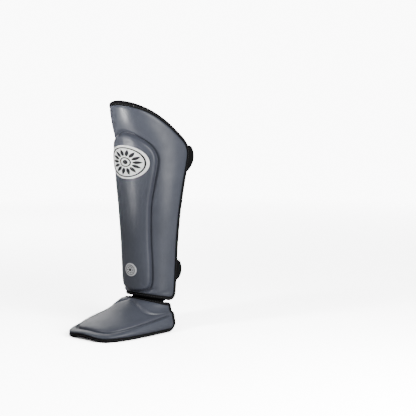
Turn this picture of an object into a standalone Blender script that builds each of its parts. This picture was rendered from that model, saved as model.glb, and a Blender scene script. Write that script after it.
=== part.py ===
"""Muay thai shin guard: a padded shin plate, a padded foot cover, their edge tapes, straps and badges.

It stands on the lower edge of the foot cover. Lengths are in metres, +Z is up, the front faces -Y and X is
across. In this file "forward" is the distance in front of the ankle's axis, so it grows towards the toes.
"""

import math
from collections import namedtuple

import bmesh
import bpy
import numpy as np

# Shin pad sizes
SHIN_BOTTOM = 0.063
SHIN_TOP = 0.428
SHIN_HALF_WIDTH = 0.074
SHIN_FRONT = 0.091
SHIN_REAR = 0.038
TOP_EDGE_DROP = 0.086
BOTTOM_EDGE_DROP = 0.014
SHIN_CORNER = 0.024
WING_THICKNESS = 0.013
PANEL_RISE = 0.006
PANEL_TOP = 0.368
PANEL_BOTTOM = 0.0745
PANEL_HALF_WIDTH = 0.060
CHANNEL_WIDTH = 0.0068
CHANNEL_DEPTH = 0.0035

# Foot pad sizes
FOOT_HALF_WIDTH = 0.071
FOOT_TOE = 0.180
FOOT_HEIGHT = 0.061
FOOT_REAR = 0.006
FOOT_THICKNESS = 0.011
FOOT_GROOVE_DEPTH = 0.003
TOE_ARCH = 0.004
SOLE_REAR_ROUND = 0.010
COLLAR_END = 0.002
COLLAR_TUCK = 0.006
COLLAR_GAP = 0.001

# Edge tape sizes
TAPE_WIDTH = 0.0075
TAPE_THICKNESS = 0.0012
TAPE_CLEARANCE = 0.0008
EDGE_THICKNESS = 0.006
EDGE_LEVEL = 0.006
ROLL_WIDTH = 0.006

# Strap, badge and fit sizes
UPPER_STRAP_HEIGHT = 0.318
UPPER_STRAP_WIDTH = 0.049
UPPER_STRAP_BOW = 0.039
LOWER_STRAP_HEIGHT = 0.107
LOWER_STRAP_WIDTH = 0.042
LOWER_STRAP_BOW = 0.031
STRAP_THICKNESS = 0.003
STRAP_HOLD = 0.018
STRAP_CROWN = 0.008
STRAP_SQUARENESS = 2.1
TAB_REACH = 0.036
TAB_THICKNESS = 0.002
TAB_MARGIN = 0.003
TAB_CLEARANCE = 0.0007
SOLE_STRAP_FORWARD = 0.070
SOLE_STRAP_WIDTH = 0.034
SOLE_STRAP_THICKNESS = 0.002
SOLE_STRAP_HOLD = 0.017
SOLE_STRAP_RISE = 0.0022
SOLE_STRAP_CLEARANCE = 0.0001
ANKLE_STRIP_REACH = 0.024
ANKLE_STRIP_THICKNESS = 0.0015
ANKLE_STRIP_SPAN = 0.84
SHIN_BADGE_HEIGHT = 0.317
SHIN_BADGE_HALF_WIDTH = 0.046
SHIN_BADGE_HALF_TALL = 0.032
ANKLE_BADGE_HEIGHT = 0.1145
ANKLE_BADGE_HALF_WIDTH = 0.0130
ANKLE_BADGE_HALF_TALL = 0.0125
BADGE_THICKNESS = 0.0012
BADGE_GAP = 0.0008
GAP = 0.0005

# Levels of the edge tape's inner and outer faces from the middle of the edge
TAPE_INSIDE = EDGE_THICKNESS / 2 + GAP
TAPE_OUTSIDE = EDGE_THICKNESS / 2 + GAP + TAPE_THICKNESS

# Sections of the shin pad, bottom to top: height is a share of the pad's length above its bottom edge, the
# others are shares of SHIN_HALF_WIDTH, SHIN_REAR and SHIN_FRONT
ShinSection = namedtuple("ShinSection", "height half_width rear front")
SHIN_SECTIONS = (
    ShinSection(-0.05, 0.73, 0.27, 0.510),
    ShinSection(0.00, 0.74, 0.29, 0.523),
    ShinSection(0.15, 0.775, 0.33, 0.550),
    ShinSection(0.30, 0.845, 0.29, 0.572),
    ShinSection(0.44, 0.925, 0.31, 0.600),
    ShinSection(0.58, 0.965, 0.51, 0.635),
    ShinSection(0.70, 0.985, 0.76, 0.672),
    ShinSection(0.78, 1.00, 0.89, 0.722),
    ShinSection(0.83, 1.00, 0.94, 0.778),
    ShinSection(0.92, 1.00, 0.97, 0.900),
    ShinSection(1.00, 1.00, 1.00, 1.00),
)
SHIN_SQUARENESS = 2.2

# Top edge of the shin pad: how far it has dropped at each share of the way from the centre to the rear edge
EdgeDrop = namedtuple("EdgeDrop", "way drop")
TOP_EDGE = (
    EdgeDrop(0.00, 0.00),
    EdgeDrop(0.14, 0.02),
    EdgeDrop(0.29, 0.085),
    EdgeDrop(0.44, 0.21),
    EdgeDrop(0.58, 0.38),
    EdgeDrop(0.76, 0.65),
    EdgeDrop(1.00, 1.00),
)

# Outline of the raised panel, bottom to top: shares of the panel's length and of PANEL_HALF_WIDTH
PanelPoint = namedtuple("PanelPoint", "height half_width")
PANEL_OUTLINE = (
    PanelPoint(0.000, 0.00),
    PanelPoint(0.004, 0.25),
    PanelPoint(0.013, 0.42),
    PanelPoint(0.032, 0.53),
    PanelPoint(0.064, 0.585),
    PanelPoint(0.110, 0.605),
    PanelPoint(0.200, 0.61),
    PanelPoint(0.320, 0.60),
    PanelPoint(0.430, 0.62),
    PanelPoint(0.560, 0.67),
    PanelPoint(0.680, 0.79),
    PanelPoint(0.780, 0.90),
    PanelPoint(0.850, 0.95),
    PanelPoint(0.910, 0.85),
    PanelPoint(0.955, 0.62),
    PanelPoint(0.990, 0.28),
    PanelPoint(1.000, 0.00),
)
PANEL_LOW_CORNER_ROW = 3
PANEL_HIGH_CORNER_ROW = 13

# Channel beside the raised panel, from outside in: width is a share of the channel's width out from the
# panel's edge, negative where it is inside the edge, depth of CHANNEL_DEPTH and rise of PANEL_RISE
ChannelPoint = namedtuple("ChannelPoint", "width depth rise")
CHANNEL_PROFILE = (
    ChannelPoint(0.70, 1.0, 0.00),
    ChannelPoint(0.35, 1.0, 0.00),
    ChannelPoint(0.00, 0.0, 0.55),
    ChannelPoint(-0.50, 0.0, 0.92),
)

# Shares of the room between the tape and the panel that the channel and the rolled edge take at most, and
# how many times wider the roll is on the inner side
CHANNEL_ROOM = 0.6
ROLL_ROOM = 0.2
INNER_ROLL = 2.0

# Rows of the foot pad, toe to ankle: each is a U seen from above, with half_width a share of FOOT_HALF_WIDTH,
# front of FOOT_TOE, rear of FOOT_REAR, the two heights of FOOT_HEIGHT, arch of TOE_ARCH, lift of
# FOOT_GROOVE_DEPTH and thickness of FOOT_THICKNESS; lean is how far the inner skin is set square to the
# upright edge
FOOT_COLUMNS = "half_width front rear front_height rear_height squareness arch lift thickness lean"
FootRow = namedtuple("FootRow", FOOT_COLUMNS)
FOOT_ROWS = (
    FootRow(0.998, 0.995, 1.00, 0.155, 0.220, 4.0, 1.0, 0.0, 1.00, 0.90),
    FootRow(0.975, 0.968, 0.90, 0.185, 0.340, 3.9, 0.9, 0.3, 0.90, 0.70),
    FootRow(0.940, 0.928, 0.80, 0.220, 0.480, 3.7, 0.8, 0.0, 0.75, 0.45),
    FootRow(0.925, 0.912, 0.75, 0.235, 0.530, 3.5, 0.7, -1.0, 0.70, 0.36),
    FootRow(0.912, 0.895, 0.70, 0.270, 0.560, 3.4, 0.6, 0.2, 0.85, 0.28),
    FootRow(0.885, 0.850, 0.65, 0.315, 0.590, 2.9, 0.4, 0.7, 0.95, 0.15),
    FootRow(0.840, 0.740, 0.60, 0.435, 0.620, 2.4, 0.2, 0.6, 1.00, 0.00),
    FootRow(0.805, 0.580, 0.50, 0.615, 0.650, 2.2, 0.0, 0.3, 1.00, 0.00),
    FootRow(0.785, 0.440, 0.40, 0.820, 0.680, 2.15, 0.0, 0.0, 1.00, 0.00),
    FootRow(0.780, 0.345, 0.35, 0.950, 0.705, 2.15, 0.0, 0.0, 1.00, 0.00),
)
SOLE_SQUARENESS = 4.0
TOE_ARCH_SHARE = 0.62
TOE_ARCH_POWER = 1.5

# Shares and ratios of the small pieces
TAPE_BEVEL = 0.45
STRAP_CROWN_EASE = 3.0
SOLE_STRAP_TURN = 0.3
ANKLE_STRIP_RISES = (1.0, 0.55, 0.1)
SMALLEST_MITRE = 0.5
SHARP_ANGLE = 40.0

# Mesh density
PANEL_CELLS_ACROSS = 16
PANEL_CELLS_ALONG = 18
WING_RINGS = 4
FOOT_CELLS_ACROSS = 26
STRAP_CELLS = 20
STRAP_HELD_CELLS = 4
TAB_CELLS = 8
STRAP_LINES = (-0.5, -0.3, 0.0, 0.3, 0.5)
SOLE_WALL_CELLS = 3
SOLE_TURN_CELLS = 4
BADGE_CELLS = 24
BADGE_RINGS = (1.0, 0.8, 0.6, 0.4, 0.2, 0.06)
ANKLE_STRIP_CELLS = 10
END_CROWDING = 0.55
SECTION_SAMPLES = 65
ROW_SAMPLES = 20
OUTLINE_SAMPLES = 81
CORNER_SAMPLES = 13
CORNER_STEP = 6
PROBE = 0.0005
NORMAL_EASING = 3
MIRROR = np.array([-1.0, 1.0, 1.0])

PART_NAME = "muay_thai_shin_guard"
GREY_LEATHER = ("grey_leather", (0.10, 0.105, 0.125, 1.0), 0.42, 0.0)
BLACK_TAPE = ("black_tape", (0.006, 0.006, 0.007, 1.0), 0.75, 0.0)
BLACK_WEBBING = ("black_webbing", (0.008, 0.008, 0.009, 1.0), 0.85, 0.0)
WHITE_RUBBER = ("white_rubber", (0.80, 0.80, 0.80, 1.0), 0.45, 0.0)
SILVER_RUBBER = ("silver_rubber", (0.55, 0.56, 0.58, 1.0), 0.35, 0.3)


def smooth_through(known_x, known_y, x):
    """A smooth curve through known points, carried straight on past its ends."""
    known_x = np.asarray(known_x, float)
    known_y = np.asarray(known_y, float)
    x = np.asarray(x, float)
    slope = np.gradient(known_y, known_x)
    left = np.clip(np.searchsorted(known_x, x) - 1, 0, len(known_x) - 2)
    span = known_x[left + 1] - known_x[left]
    t = np.clip((x - known_x[left]) / span, 0.0, 1.0)
    start = known_y[left] * (1 + 2 * t) * (1 - t) ** 2 + slope[left] * span * t * (1 - t) ** 2
    end = known_y[left + 1] * t * t * (3 - 2 * t) + slope[left + 1] * span * t * t * (t - 1)
    past_end = np.maximum(x - known_x[-1], 0.0) * slope[-1]
    before_start = np.minimum(x - known_x[0], 0.0) * slope[0]
    return start + end + past_end + before_start


def column(rows, name):
    """One named column of a table."""
    return np.array([getattr(row, name) for row in rows])


def mirrored(points):
    """The same points on the other side of the middle plane, in reverse order."""
    return (points * MIRROR[: points.shape[1]])[::-1]


def crowded(count):
    """Shares from 0 to 1, closer together at both ends."""
    even = np.linspace(0.0, 1.0, count + 1)
    return (1 - END_CROWDING) * even + END_CROWDING * 0.5 * (1 - np.cos(math.pi * even))


def along(points, shares):
    """Points at these shares of a polyline's length."""
    steps = np.linalg.norm(np.diff(points, axis=0), axis=1)
    distance = np.concatenate([[0.0], np.cumsum(steps)])
    wanted = np.asarray(shares) * distance[-1]
    return np.stack([np.interp(wanted, distance, points[:, axis]) for axis in range(points.shape[1])], axis=1)


def u_section(half_width, rear, front, squareness):
    """A U seen from above, from its front centre to its rear end, as (across, forward) for each section."""
    turn = np.linspace(0.0, math.pi / 2, SECTION_SAMPLES)
    power = 2.0 / np.asarray(squareness, float)[..., None]
    across = np.asarray(half_width)[..., None] * np.sin(turn) ** power
    reach = (np.asarray(front) - np.asarray(rear))[..., None]
    forward = np.asarray(rear)[..., None] + reach * np.abs(np.cos(turn)) ** power
    return across, forward


def shin_section(height):
    """The shin pad's section at each height, as (across, forward, distance from the front centre)."""
    share = (np.asarray(height, float) - SHIN_BOTTOM) / (SHIN_TOP - SHIN_BOTTOM)
    known = column(SHIN_SECTIONS, "height")
    half_width = SHIN_HALF_WIDTH * smooth_through(known, column(SHIN_SECTIONS, "half_width"), share)
    rear = -SHIN_REAR * smooth_through(known, column(SHIN_SECTIONS, "rear"), share)
    front = SHIN_FRONT * smooth_through(known, column(SHIN_SECTIONS, "front"), share)
    across, forward = u_section(half_width, rear, front, np.full(share.shape, SHIN_SQUARENESS))
    steps = np.hypot(np.diff(across, axis=-1), np.diff(forward, axis=-1))
    distance = np.concatenate([np.zeros(share.shape + (1,)), np.cumsum(steps, axis=-1)], axis=-1)
    return across, forward, distance


def shin_reach(height):
    """Distance round the section from the front centre to the rear edge."""
    return shin_section(height)[2][..., -1]


def shin_base(flat):
    """Points of the shin pad's smooth outer skin for (distance round, height) pairs of its flat pattern."""
    across, forward, distance = shin_section(flat[:, 1])
    wanted = np.minimum(np.abs(flat[:, 0]), distance[:, -1])
    left = np.clip((distance <= wanted[:, None]).sum(axis=1) - 1, 0, SECTION_SAMPLES - 2)
    row = np.arange(len(flat))
    share = (wanted - distance[row, left]) / (distance[row, left + 1] - distance[row, left])
    x = across[row, left] + share * (across[row, left + 1] - across[row, left])
    f = forward[row, left] + share * (forward[row, left + 1] - forward[row, left])
    past = np.abs(flat[:, 0]) - wanted
    return np.stack([np.sign(flat[:, 0]) * x, past - f, flat[:, 1]], axis=1)


def unit(vectors):
    return vectors / np.linalg.norm(vectors, axis=-1, keepdims=True)


def shin_normals(flat):
    """Outward unit normals of the shin pad's smooth skin."""
    side = np.array([PROBE, 0.0])
    rise = np.array([0.0, PROBE])
    across = shin_base(flat + side) - shin_base(flat - side)
    up = shin_base(flat + rise) - shin_base(flat - rise)
    return unit(np.cross(across, up))


def shin_surface(flat, level):
    """Points at a level above the shin pad's smooth skin, or below it where the level is negative."""
    return shin_base(flat) + shin_normals(flat) * np.broadcast_to(level, len(flat))[:, None]


def rounded_corner(before, corner, after, radius):
    """Points of a rounded corner between two straight runs."""
    start = corner + unit(before - corner) * radius
    end = corner + unit(after - corner) * radius
    t = np.linspace(0.0, 1.0, CORNER_SAMPLES)[:, None]
    return (1 - t) ** 2 * start + 2 * t * (1 - t) * corner + t ** 2 * end


def top_edge_height(way):
    """Height of the shin pad's top edge at a share of the way from the centre to the rear edge."""
    drop = smooth_through(column(TOP_EDGE, "way"), column(TOP_EDGE, "drop"), np.abs(way))
    return SHIN_TOP - TOP_EDGE_DROP * drop


def bottom_edge_height(way):
    """Height of the shin pad's bottom edge, which dips a little towards the rear."""
    return SHIN_BOTTOM - BOTTOM_EDGE_DROP * np.abs(way) ** 2


def shin_outline_sides():
    """The flat pattern's bottom, right, top and left sides, anticlockwise, meeting mid-corner."""
    way = np.linspace(-1.0, 1.0, OUTLINE_SAMPLES)
    bottom_heights = bottom_edge_height(way)
    bottom = np.stack([way * shin_reach(bottom_heights), bottom_heights], axis=1)
    top_heights = top_edge_height(way)
    top = np.stack([way * shin_reach(top_heights), top_heights], axis=1)[::-1]
    heights = np.linspace(bottom[-1, 1], top[0, 1], OUTLINE_SAMPLES)
    right = np.stack([shin_reach(heights), heights], axis=1)
    low = rounded_corner(bottom[-CORNER_STEP], bottom[-1], right[CORNER_STEP], SHIN_CORNER)
    high = rounded_corner(right[-CORNER_STEP], right[-1], top[CORNER_STEP], SHIN_CORNER)
    half = CORNER_SAMPLES // 2
    right_run = right[(right[:, 1] > low[-1, 1]) & (right[:, 1] < high[0, 1])]
    bottom_run = bottom[np.abs(bottom[:, 0]) < bottom[-1, 0] - SHIN_CORNER]
    top_run = top[np.abs(top[:, 0]) < top[0, 0] - SHIN_CORNER]
    right_side = np.concatenate([low[half:], right_run, high[: half + 1]])
    top_side = np.concatenate([high[half:], top_run, mirrored(high)[: half + 1]])
    bottom_side = np.concatenate([mirrored(low)[half:], bottom_run, low[: half + 1]])
    return bottom_side, right_side, top_side, mirrored(right_side)


def panel_outline_sides():
    """The raised panel's bottom, right, top and left sides in the flat pattern, anticlockwise."""
    rows = np.arange(len(PANEL_OUTLINE))
    last = len(PANEL_OUTLINE) - 1
    fine = np.linspace(0, last, last * ROW_SAMPLES + 1)
    length = PANEL_TOP - PANEL_BOTTOM
    height = PANEL_BOTTOM + length * smooth_through(rows, column(PANEL_OUTLINE, "height"), fine)
    reach = PANEL_HALF_WIDTH * smooth_through(rows, column(PANEL_OUTLINE, "half_width"), fine)
    half = np.stack([reach, height], axis=1)
    low = PANEL_LOW_CORNER_ROW * ROW_SAMPLES
    high = PANEL_HIGH_CORNER_ROW * ROW_SAMPLES
    bottom = np.concatenate([mirrored(half[: low + 1]), half[1 : low + 1]])
    right = half[low : high + 1]
    top = np.concatenate([half[high:], mirrored(half[high:-1])])
    return bottom, right, top, mirrored(right)


def loop_of(sides, counts):
    """One closed loop of stations from four sides, each with its own number of cells."""
    parts = [along(side, crowded(count))[:-1] for side, count in zip(sides, counts)]
    return np.concatenate(parts)


def inset(loop, distance):
    """The loop moved inwards by a distance, station by station."""
    ahead = np.roll(loop, -1, axis=0) - loop
    behind = loop - np.roll(loop, 1, axis=0)
    tangent = unit(unit(ahead) + unit(behind))
    inward = np.stack([-tangent[:, 1], tangent[:, 0]], axis=1)
    square = unit(np.stack([-ahead[:, 1], ahead[:, 0]], axis=1))
    mitre = np.clip((inward * square).sum(axis=1), SMALLEST_MITRE, 1.0)
    return loop + inward * (distance / mitre)[:, None]


def patch_inside(loop, across, rows):
    """A grid of points that fills a four-sided loop."""
    bottom = loop[: across + 1]
    right = loop[across : across + rows + 1]
    top = loop[across + rows : 2 * across + rows + 1][::-1]
    left = np.concatenate([loop[2 * across + rows :], loop[:1]])[::-1]
    u = crowded(across)[None, :, None]
    v = crowded(rows)[:, None, None]
    between_ends = (1 - v) * bottom[None] + v * top[None]
    between_sides = (1 - u) * left[:, None] + u * right[:, None]
    low = (1 - u) * bottom[0] + u * bottom[-1]
    high = (1 - u) * top[0] + u * top[-1]
    return between_ends + between_sides - ((1 - v) * low + v * high)


class Skin:
    """The points and faces of one closed piece, gathered row by row."""

    def __init__(self):
        self.points = []
        self.faces = []

    def row(self, points):
        """Adds a row of points and gives their numbers."""
        first = sum(len(part) for part in self.points)
        self.points.append(np.asarray(points, float))
        return np.arange(first, first + len(points))

    def strip(self, one, other, closed=True):
        """Joins two rows of the same length with a band of faces."""
        ends = len(one) if closed else len(one) - 1
        for k in range(ends):
            n = (k + 1) % len(one)
            self.faces.append((one[k], one[n], other[n], other[k]))

    def bands(self, rows, closed=True):
        """Joins each row to the next."""
        for one, other in zip(rows, rows[1:]):
            self.strip(one, other, closed)

    def fill(self, border, inner, across, rows):
        """Fills a closed border with a grid whose inner points are given row by row."""
        numbers = np.empty((rows + 1, across + 1), int)
        numbers[0] = border[: across + 1]
        numbers[:, -1] = border[across : across + rows + 1]
        numbers[-1] = border[across + rows : 2 * across + rows + 1][::-1]
        numbers[:, 0] = np.concatenate([border[2 * across + rows :], border[:1]])[::-1]
        numbers[1:-1, 1:-1] = inner.reshape(rows - 1, across - 1)
        self.bands(list(numbers), closed=False)

    def cap(self, ring):
        """Closes an end with one face."""
        self.faces.append(tuple(ring))

    def all_points(self):
        return np.concatenate(self.points)


def edge_points(rim, inner, normals, width, distance, level):
    """Points of an edge's section: a distance in from the rim and a level above the smooth skin."""
    return rim + (inner - rim) * (distance / width) + normals * level


def tape_skin(rim, inner, normals):
    """A tape folded round an edge, as a closed ring with a C-shaped section."""
    bevel = TAPE_BEVEL * TAPE_OUTSIDE
    section = (
        (TAPE_WIDTH, TAPE_OUTSIDE),
        (bevel, TAPE_OUTSIDE),
        (0.0, TAPE_OUTSIDE - bevel),
        (0.0, bevel - TAPE_OUTSIDE),
        (bevel, -TAPE_OUTSIDE),
        (TAPE_WIDTH, -TAPE_OUTSIDE),
        (TAPE_WIDTH, -TAPE_INSIDE),
        (TAPE_THICKNESS, -TAPE_INSIDE),
        (TAPE_THICKNESS, TAPE_INSIDE),
        (TAPE_WIDTH, TAPE_INSIDE),
    )
    skin = Skin()
    rows = []
    for distance, level in section:
        rows.append(skin.row(edge_points(rim, inner, normals, TAPE_WIDTH, distance, level - EDGE_LEVEL)))
    skin.bands(rows + rows[:1])
    return skin


def shin_loops():
    """The rim, the tape's inner edge and the panel's outline as matching loops of the flat pattern."""
    counts = (PANEL_CELLS_ACROSS, PANEL_CELLS_ALONG) * 2
    rim = loop_of(shin_outline_sides(), counts)
    panel = loop_of(panel_outline_sides(), counts)
    return rim, inset(rim, TAPE_WIDTH), panel


def shin_rim():
    """The shin pad's rim, tape line and normals as points in space."""
    rim, taped, _ = shin_loops()
    return shin_surface(rim, 0.0), shin_surface(taped, 0.0), shin_normals(rim)


def edge_rows(skin, rim, inner, normals, side):
    """The two rows of a pad that lie under its tape and the row that steps out beside it."""
    half = side * EDGE_THICKNESS / 2
    rows = []
    sections = (
        (TAPE_THICKNESS + TAPE_CLEARANCE, half),
        (TAPE_WIDTH + TAPE_CLEARANCE, half),
        (TAPE_WIDTH + 2 * TAPE_CLEARANCE, side * TAPE_OUTSIDE),
    )
    for distance, level in sections:
        rows.append(skin.row(edge_points(rim, inner, normals, TAPE_WIDTH, distance, level - EDGE_LEVEL)))
    return rows


def shin_pad_skin():
    """The shin pad: outer skin with its raised panel and channel, inner skin, joined at the rim."""
    across, rows = PANEL_CELLS_ACROSS, PANEL_CELLS_ALONG
    rim, inner, normals = shin_rim()
    _, taped, panel = shin_loops()
    room = np.linalg.norm(panel - taped, axis=1)[:, None]
    channel = np.minimum(CHANNEL_WIDTH, CHANNEL_ROOM * room)
    roll = np.minimum(ROLL_WIDTH, ROLL_ROOM * room)
    outward = (taped - panel) / room
    roll_end = taped - outward * roll
    channel_end = panel + outward * channel
    skin = Skin()

    outer = edge_rows(skin, rim, inner, normals, 1)
    outer.append(skin.row(shin_surface(roll_end, 0.0)))
    for share in np.linspace(0.0, 1.0, WING_RINGS + 1)[1:]:
        outer.append(skin.row(shin_surface(roll_end + (channel_end - roll_end) * share, 0.0)))
    for point in CHANNEL_PROFILE:
        if point.width < 0:
            ring = inset(panel, -point.width * CHANNEL_WIDTH)
        else:
            ring = panel + outward * channel * point.width
        outer.append(skin.row(shin_surface(ring, point.rise * PANEL_RISE - point.depth * CHANNEL_DEPTH)))
    skin.bands(outer)
    inside = patch_inside(ring, across, rows)[1:-1, 1:-1].reshape(-1, 2)
    skin.fill(outer[-1], skin.row(shin_surface(inside, PANEL_RISE)), across, rows)

    back = edge_rows(skin, rim, inner, normals, -1)
    inner_roll = INNER_ROLL * roll
    for share in np.linspace(0.0, 1.0, WING_RINGS):
        ring = taped - outward * (inner_roll + (room - inner_roll) * share)
        back.append(skin.row(shin_surface(ring, -WING_THICKNESS)))
    skin.bands(back)
    inside = patch_inside(panel, across, rows)[1:-1, 1:-1].reshape(-1, 2)
    skin.fill(back[-1], skin.row(shin_surface(inside, -WING_THICKNESS)), across, rows)
    skin.strip(outer[0], back[0])
    return skin


def foot_curve(row):
    """The dense curve of one row of the foot pad, from its left rear end round the toe to its right one."""
    rear = FOOT_REAR * row.rear
    front = FOOT_TOE * row.front
    across, forward = u_section(FOOT_HALF_WIDTH * row.half_width, rear, front, row.squareness)
    rear_height = FOOT_HEIGHT * row.rear_height
    front_height = FOOT_HEIGHT * row.front_height
    height = rear_height + (front_height - rear_height) * (forward - rear) / (front - rear)
    return whole_row(across, forward, height + row.arch * toe_arch(across, forward))


def toe_arch(across, forward):
    """How far the middle of the toe stands above its corners."""
    centred = np.clip(1.0 - (across / (TOE_ARCH_SHARE * FOOT_HALF_WIDTH)) ** 2, 0.0, 1.0)
    return TOE_ARCH * centred ** TOE_ARCH_POWER * (forward > FOOT_TOE / 2)


def whole_row(across, forward, height):
    """A row from its left end to its right end, from its right half."""
    half = np.stack([across, -forward, height], axis=1)
    return np.concatenate([mirrored(half), half[1:]])


def collar_curve():
    """The foot pad's top edge, which follows the shin pad's bottom edge just below it."""
    across, forward, _ = shin_section(SHIN_BOTTOM)
    kept = forward > COLLAR_END
    across, forward = across[kept], forward[kept]
    steps = np.hypot(np.diff(across), np.diff(forward))
    way = np.concatenate([[0.0], np.cumsum(steps)]) / shin_reach(SHIN_BOTTOM)
    tucked = forward - COLLAR_TUCK * np.clip(forward / forward[0], 0.0, 1.0) ** 2
    return whole_row(across, tucked, bottom_edge_height(way) - COLLAR_GAP)


def sole_curve(height):
    """A level curve of the foot pad's upright edge, arched at the toe."""
    rear = FOOT_REAR + SOLE_REAR_ROUND * (1.0 - height / (FOOT_HEIGHT * FOOT_ROWS[0].rear_height))
    across, forward = u_section(FOOT_HALF_WIDTH, rear, FOOT_TOE, SOLE_SQUARENESS)
    return whole_row(across, forward, height + toe_arch(across, forward))


def taped_stations(curve):
    """Stations along a foot row: its two ends, the tape's width in from them, and even cells between."""
    length = np.linalg.norm(np.diff(curve, axis=0), axis=1).sum()
    tape = TAPE_WIDTH / length
    return along(curve, np.concatenate([[0.0], np.linspace(tape, 1 - tape, FOOT_CELLS_ACROSS + 1), [1.0]]))


def foot_grid():
    """The foot pad's smooth skin as rows of stations, sole first and collar last, and the lift of each row."""
    sole = [taped_stations(sole_curve(height)) for height in (0.0, TAPE_WIDTH)]
    upper = [taped_stations(foot_curve(row)) for row in FOOT_ROWS]
    collar = taped_stations(collar_curve())
    below_collar = collar + unit(upper[-1] - collar) * TAPE_WIDTH
    grid = np.array(sole + upper + [below_collar, collar])
    lifts = [0.0, 0.0] + list(column(FOOT_ROWS, "lift")) + [0.0, 0.0]
    return grid, np.array(lifts) * FOOT_GROOVE_DEPTH


def grid_normals(grid):
    """Outward unit normals of a grid of points whose rows run left to right, lowest row first."""
    return unit(np.cross(np.gradient(grid, axis=1), np.gradient(grid, axis=0)))


def border_stations(rows, columns):
    """Rows and columns round a grid's second ring, anticlockwise, and those of the rim beside them."""
    low, high, left, right = 1, rows - 2, 1, columns - 2
    row = [low] * (right - left) + list(range(low, high))
    row = np.array(row + [high] * (right - left) + list(range(high, low, -1)))
    col = list(range(left, right)) + [right] * (high - low)
    col = np.array(col + list(range(right, left, -1)) + [left] * (high - low))
    rim_row = np.where(row == low, 0, np.where(row == high, rows - 1, row))
    rim_col = np.where(col == left, 0, np.where(col == right, columns - 1, col))
    return row, col, rim_row, rim_col


def foot_rim():
    """The foot pad's rim, tape line and normals as matching loops."""
    grid, _ = foot_grid()
    row, col, rim_row, rim_col = border_stations(*grid.shape[:2])
    normals = level_along_sole(eased(grid_normals(grid)[rim_row, rim_col]), rim_row)
    return grid[rim_row, rim_col], grid[row, col], normals


def level_along_sole(normals, rim_row):
    """Turns the normals along the sole level, so that the tape's underside is flat."""
    level = normals.copy()
    level[rim_row == 0, 2] = 0.0
    return unit(level)


def eased(normals):
    """A closed loop of unit normals, each turned towards its neighbours so that the tape bends gently."""
    for _ in range(NORMAL_EASING):
        normals = unit(2 * normals + np.roll(normals, 1, axis=0) + np.roll(normals, -1, axis=0))
    return normals


def foot_pad_skin():
    """The foot pad: outer skin with its raised instep and groove, inner skin, joined at the rim."""
    grid, lifts = foot_grid()
    normals = grid_normals(grid)
    rim, inner, rim_normals = foot_rim()
    rows, across = grid.shape[0] - 3, grid.shape[1] - 3
    skin = Skin()
    outer = edge_rows(skin, rim, inner, rim_normals, 1)
    back = edge_rows(skin, rim, inner, rim_normals, -1)
    skin.bands(outer)
    skin.bands(back)
    skin.strip(outer[0], back[0])
    core = (slice(2, -2), slice(2, -2))
    lifted = grid[core] + normals[core] * lifts[2:-2, None, None]
    thickness = FOOT_THICKNESS * column(FOOT_ROWS, "thickness")[:, None, None]
    lean = column(FOOT_ROWS, "lean")[:, None, None]
    upright = normals[:1, 2:-2] * np.array([1.0, 1.0, 0.0])
    lowered = grid[core] - unit((1 - lean) * normals[core] + lean * upright) * thickness
    skin.fill(outer[-1], skin.row(lifted.reshape(-1, 3)), across, rows)
    skin.fill(back[-1], skin.row(lowered.reshape(-1, 3)), across, rows)
    return skin


def band_skin(paths, offsets, thickness):
    """A flat band whose centre lines are given edge to edge, thickened to both sides along the offsets."""
    skin = Skin()
    front = [skin.row(path + offset * thickness / 2) for path, offset in zip(paths, offsets)]
    back = [skin.row(path - offset * thickness / 2) for path, offset in zip(paths, offsets)]
    ring = front + back[::-1]
    skin.bands(ring + ring[:1], closed=False)
    for end in (0, -1):
        skin.cap([row[end] for row in ring])
    return skin


def plan_offsets(path):
    """Level unit vectors square to a path, pointing away from the leg."""
    tangent = np.gradient(path, axis=0)
    return unit(np.stack([tangent[:, 1], -tangent[:, 0], np.zeros(len(path))], axis=1))


def strap_path(height, bow):
    """The centre line of a calf strap at one height, from inside one wing round the back to the other."""
    level = -(WING_THICKNESS + GAP + STRAP_THICKNESS / 2)
    held = float(shin_reach(height)) - STRAP_HOLD * np.linspace(1.0, 0.0, STRAP_HELD_CELLS + 1)
    run = shin_surface(np.stack([held, np.full(len(held), height)], axis=1), level)
    run[:, 2] = height
    end = run[-1]
    turn = np.linspace(0.0, math.pi / 2, STRAP_CELLS // 2 + 1)[1:]
    power = 2.0 / STRAP_SQUARENESS
    x = end[0] * np.abs(np.cos(turn)) ** power
    y = end[1] + bow * np.sin(turn) ** power
    x[-1] = 0.0
    half = np.concatenate([run, np.stack([x, y, np.full(len(x), height)], axis=1)])
    return np.concatenate([half, mirrored(half)[1:]])


def strap_lines(height, width, bow, margin, beyond):
    """Lines along a calf strap, edge to edge inside a margin, crowned between the wings and moved out."""
    paths = []
    offsets = []
    for share in STRAP_LINES:
        across = share * (width - 2 * margin)
        path = strap_path(height + across, bow)
        offset = plan_offsets(path)
        free = np.clip((path[:, 1] - path[STRAP_HELD_CELLS, 1]) / bow, 0.0, 1.0)[:, None]
        crown = STRAP_CROWN * (1 - (2 * across / width) ** 2) * np.minimum(1.0, STRAP_CROWN_EASE * free)
        paths.append(path + offset * (crown + beyond))
        offsets.append(offset)
    return paths, offsets


def strap_skin(height, width, bow):
    """A calf strap, sewn inside both wings and crowned between them."""
    return band_skin(*strap_lines(height, width, bow, 0.0, 0.0), STRAP_THICKNESS)


def tab_skin(height, width, bow):
    """The hook-and-loop end of a calf strap, lying on the strap's outer side at the back."""
    beyond = STRAP_THICKNESS / 2 + TAB_CLEARANCE + TAB_THICKNESS / 2
    paths = []
    offsets = []
    for line in strap_lines(height, width, bow, TAB_MARGIN, beyond)[0]:
        reach = TAB_REACH / np.linalg.norm(np.diff(line, axis=0), axis=1).sum()
        paths.append(along(line, np.linspace(0.5 - reach, 0.5 + reach, TAB_CELLS + 1)))
        offsets.append(plan_offsets(paths[-1]))
    return band_skin(paths, offsets, TAB_THICKNESS)


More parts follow.
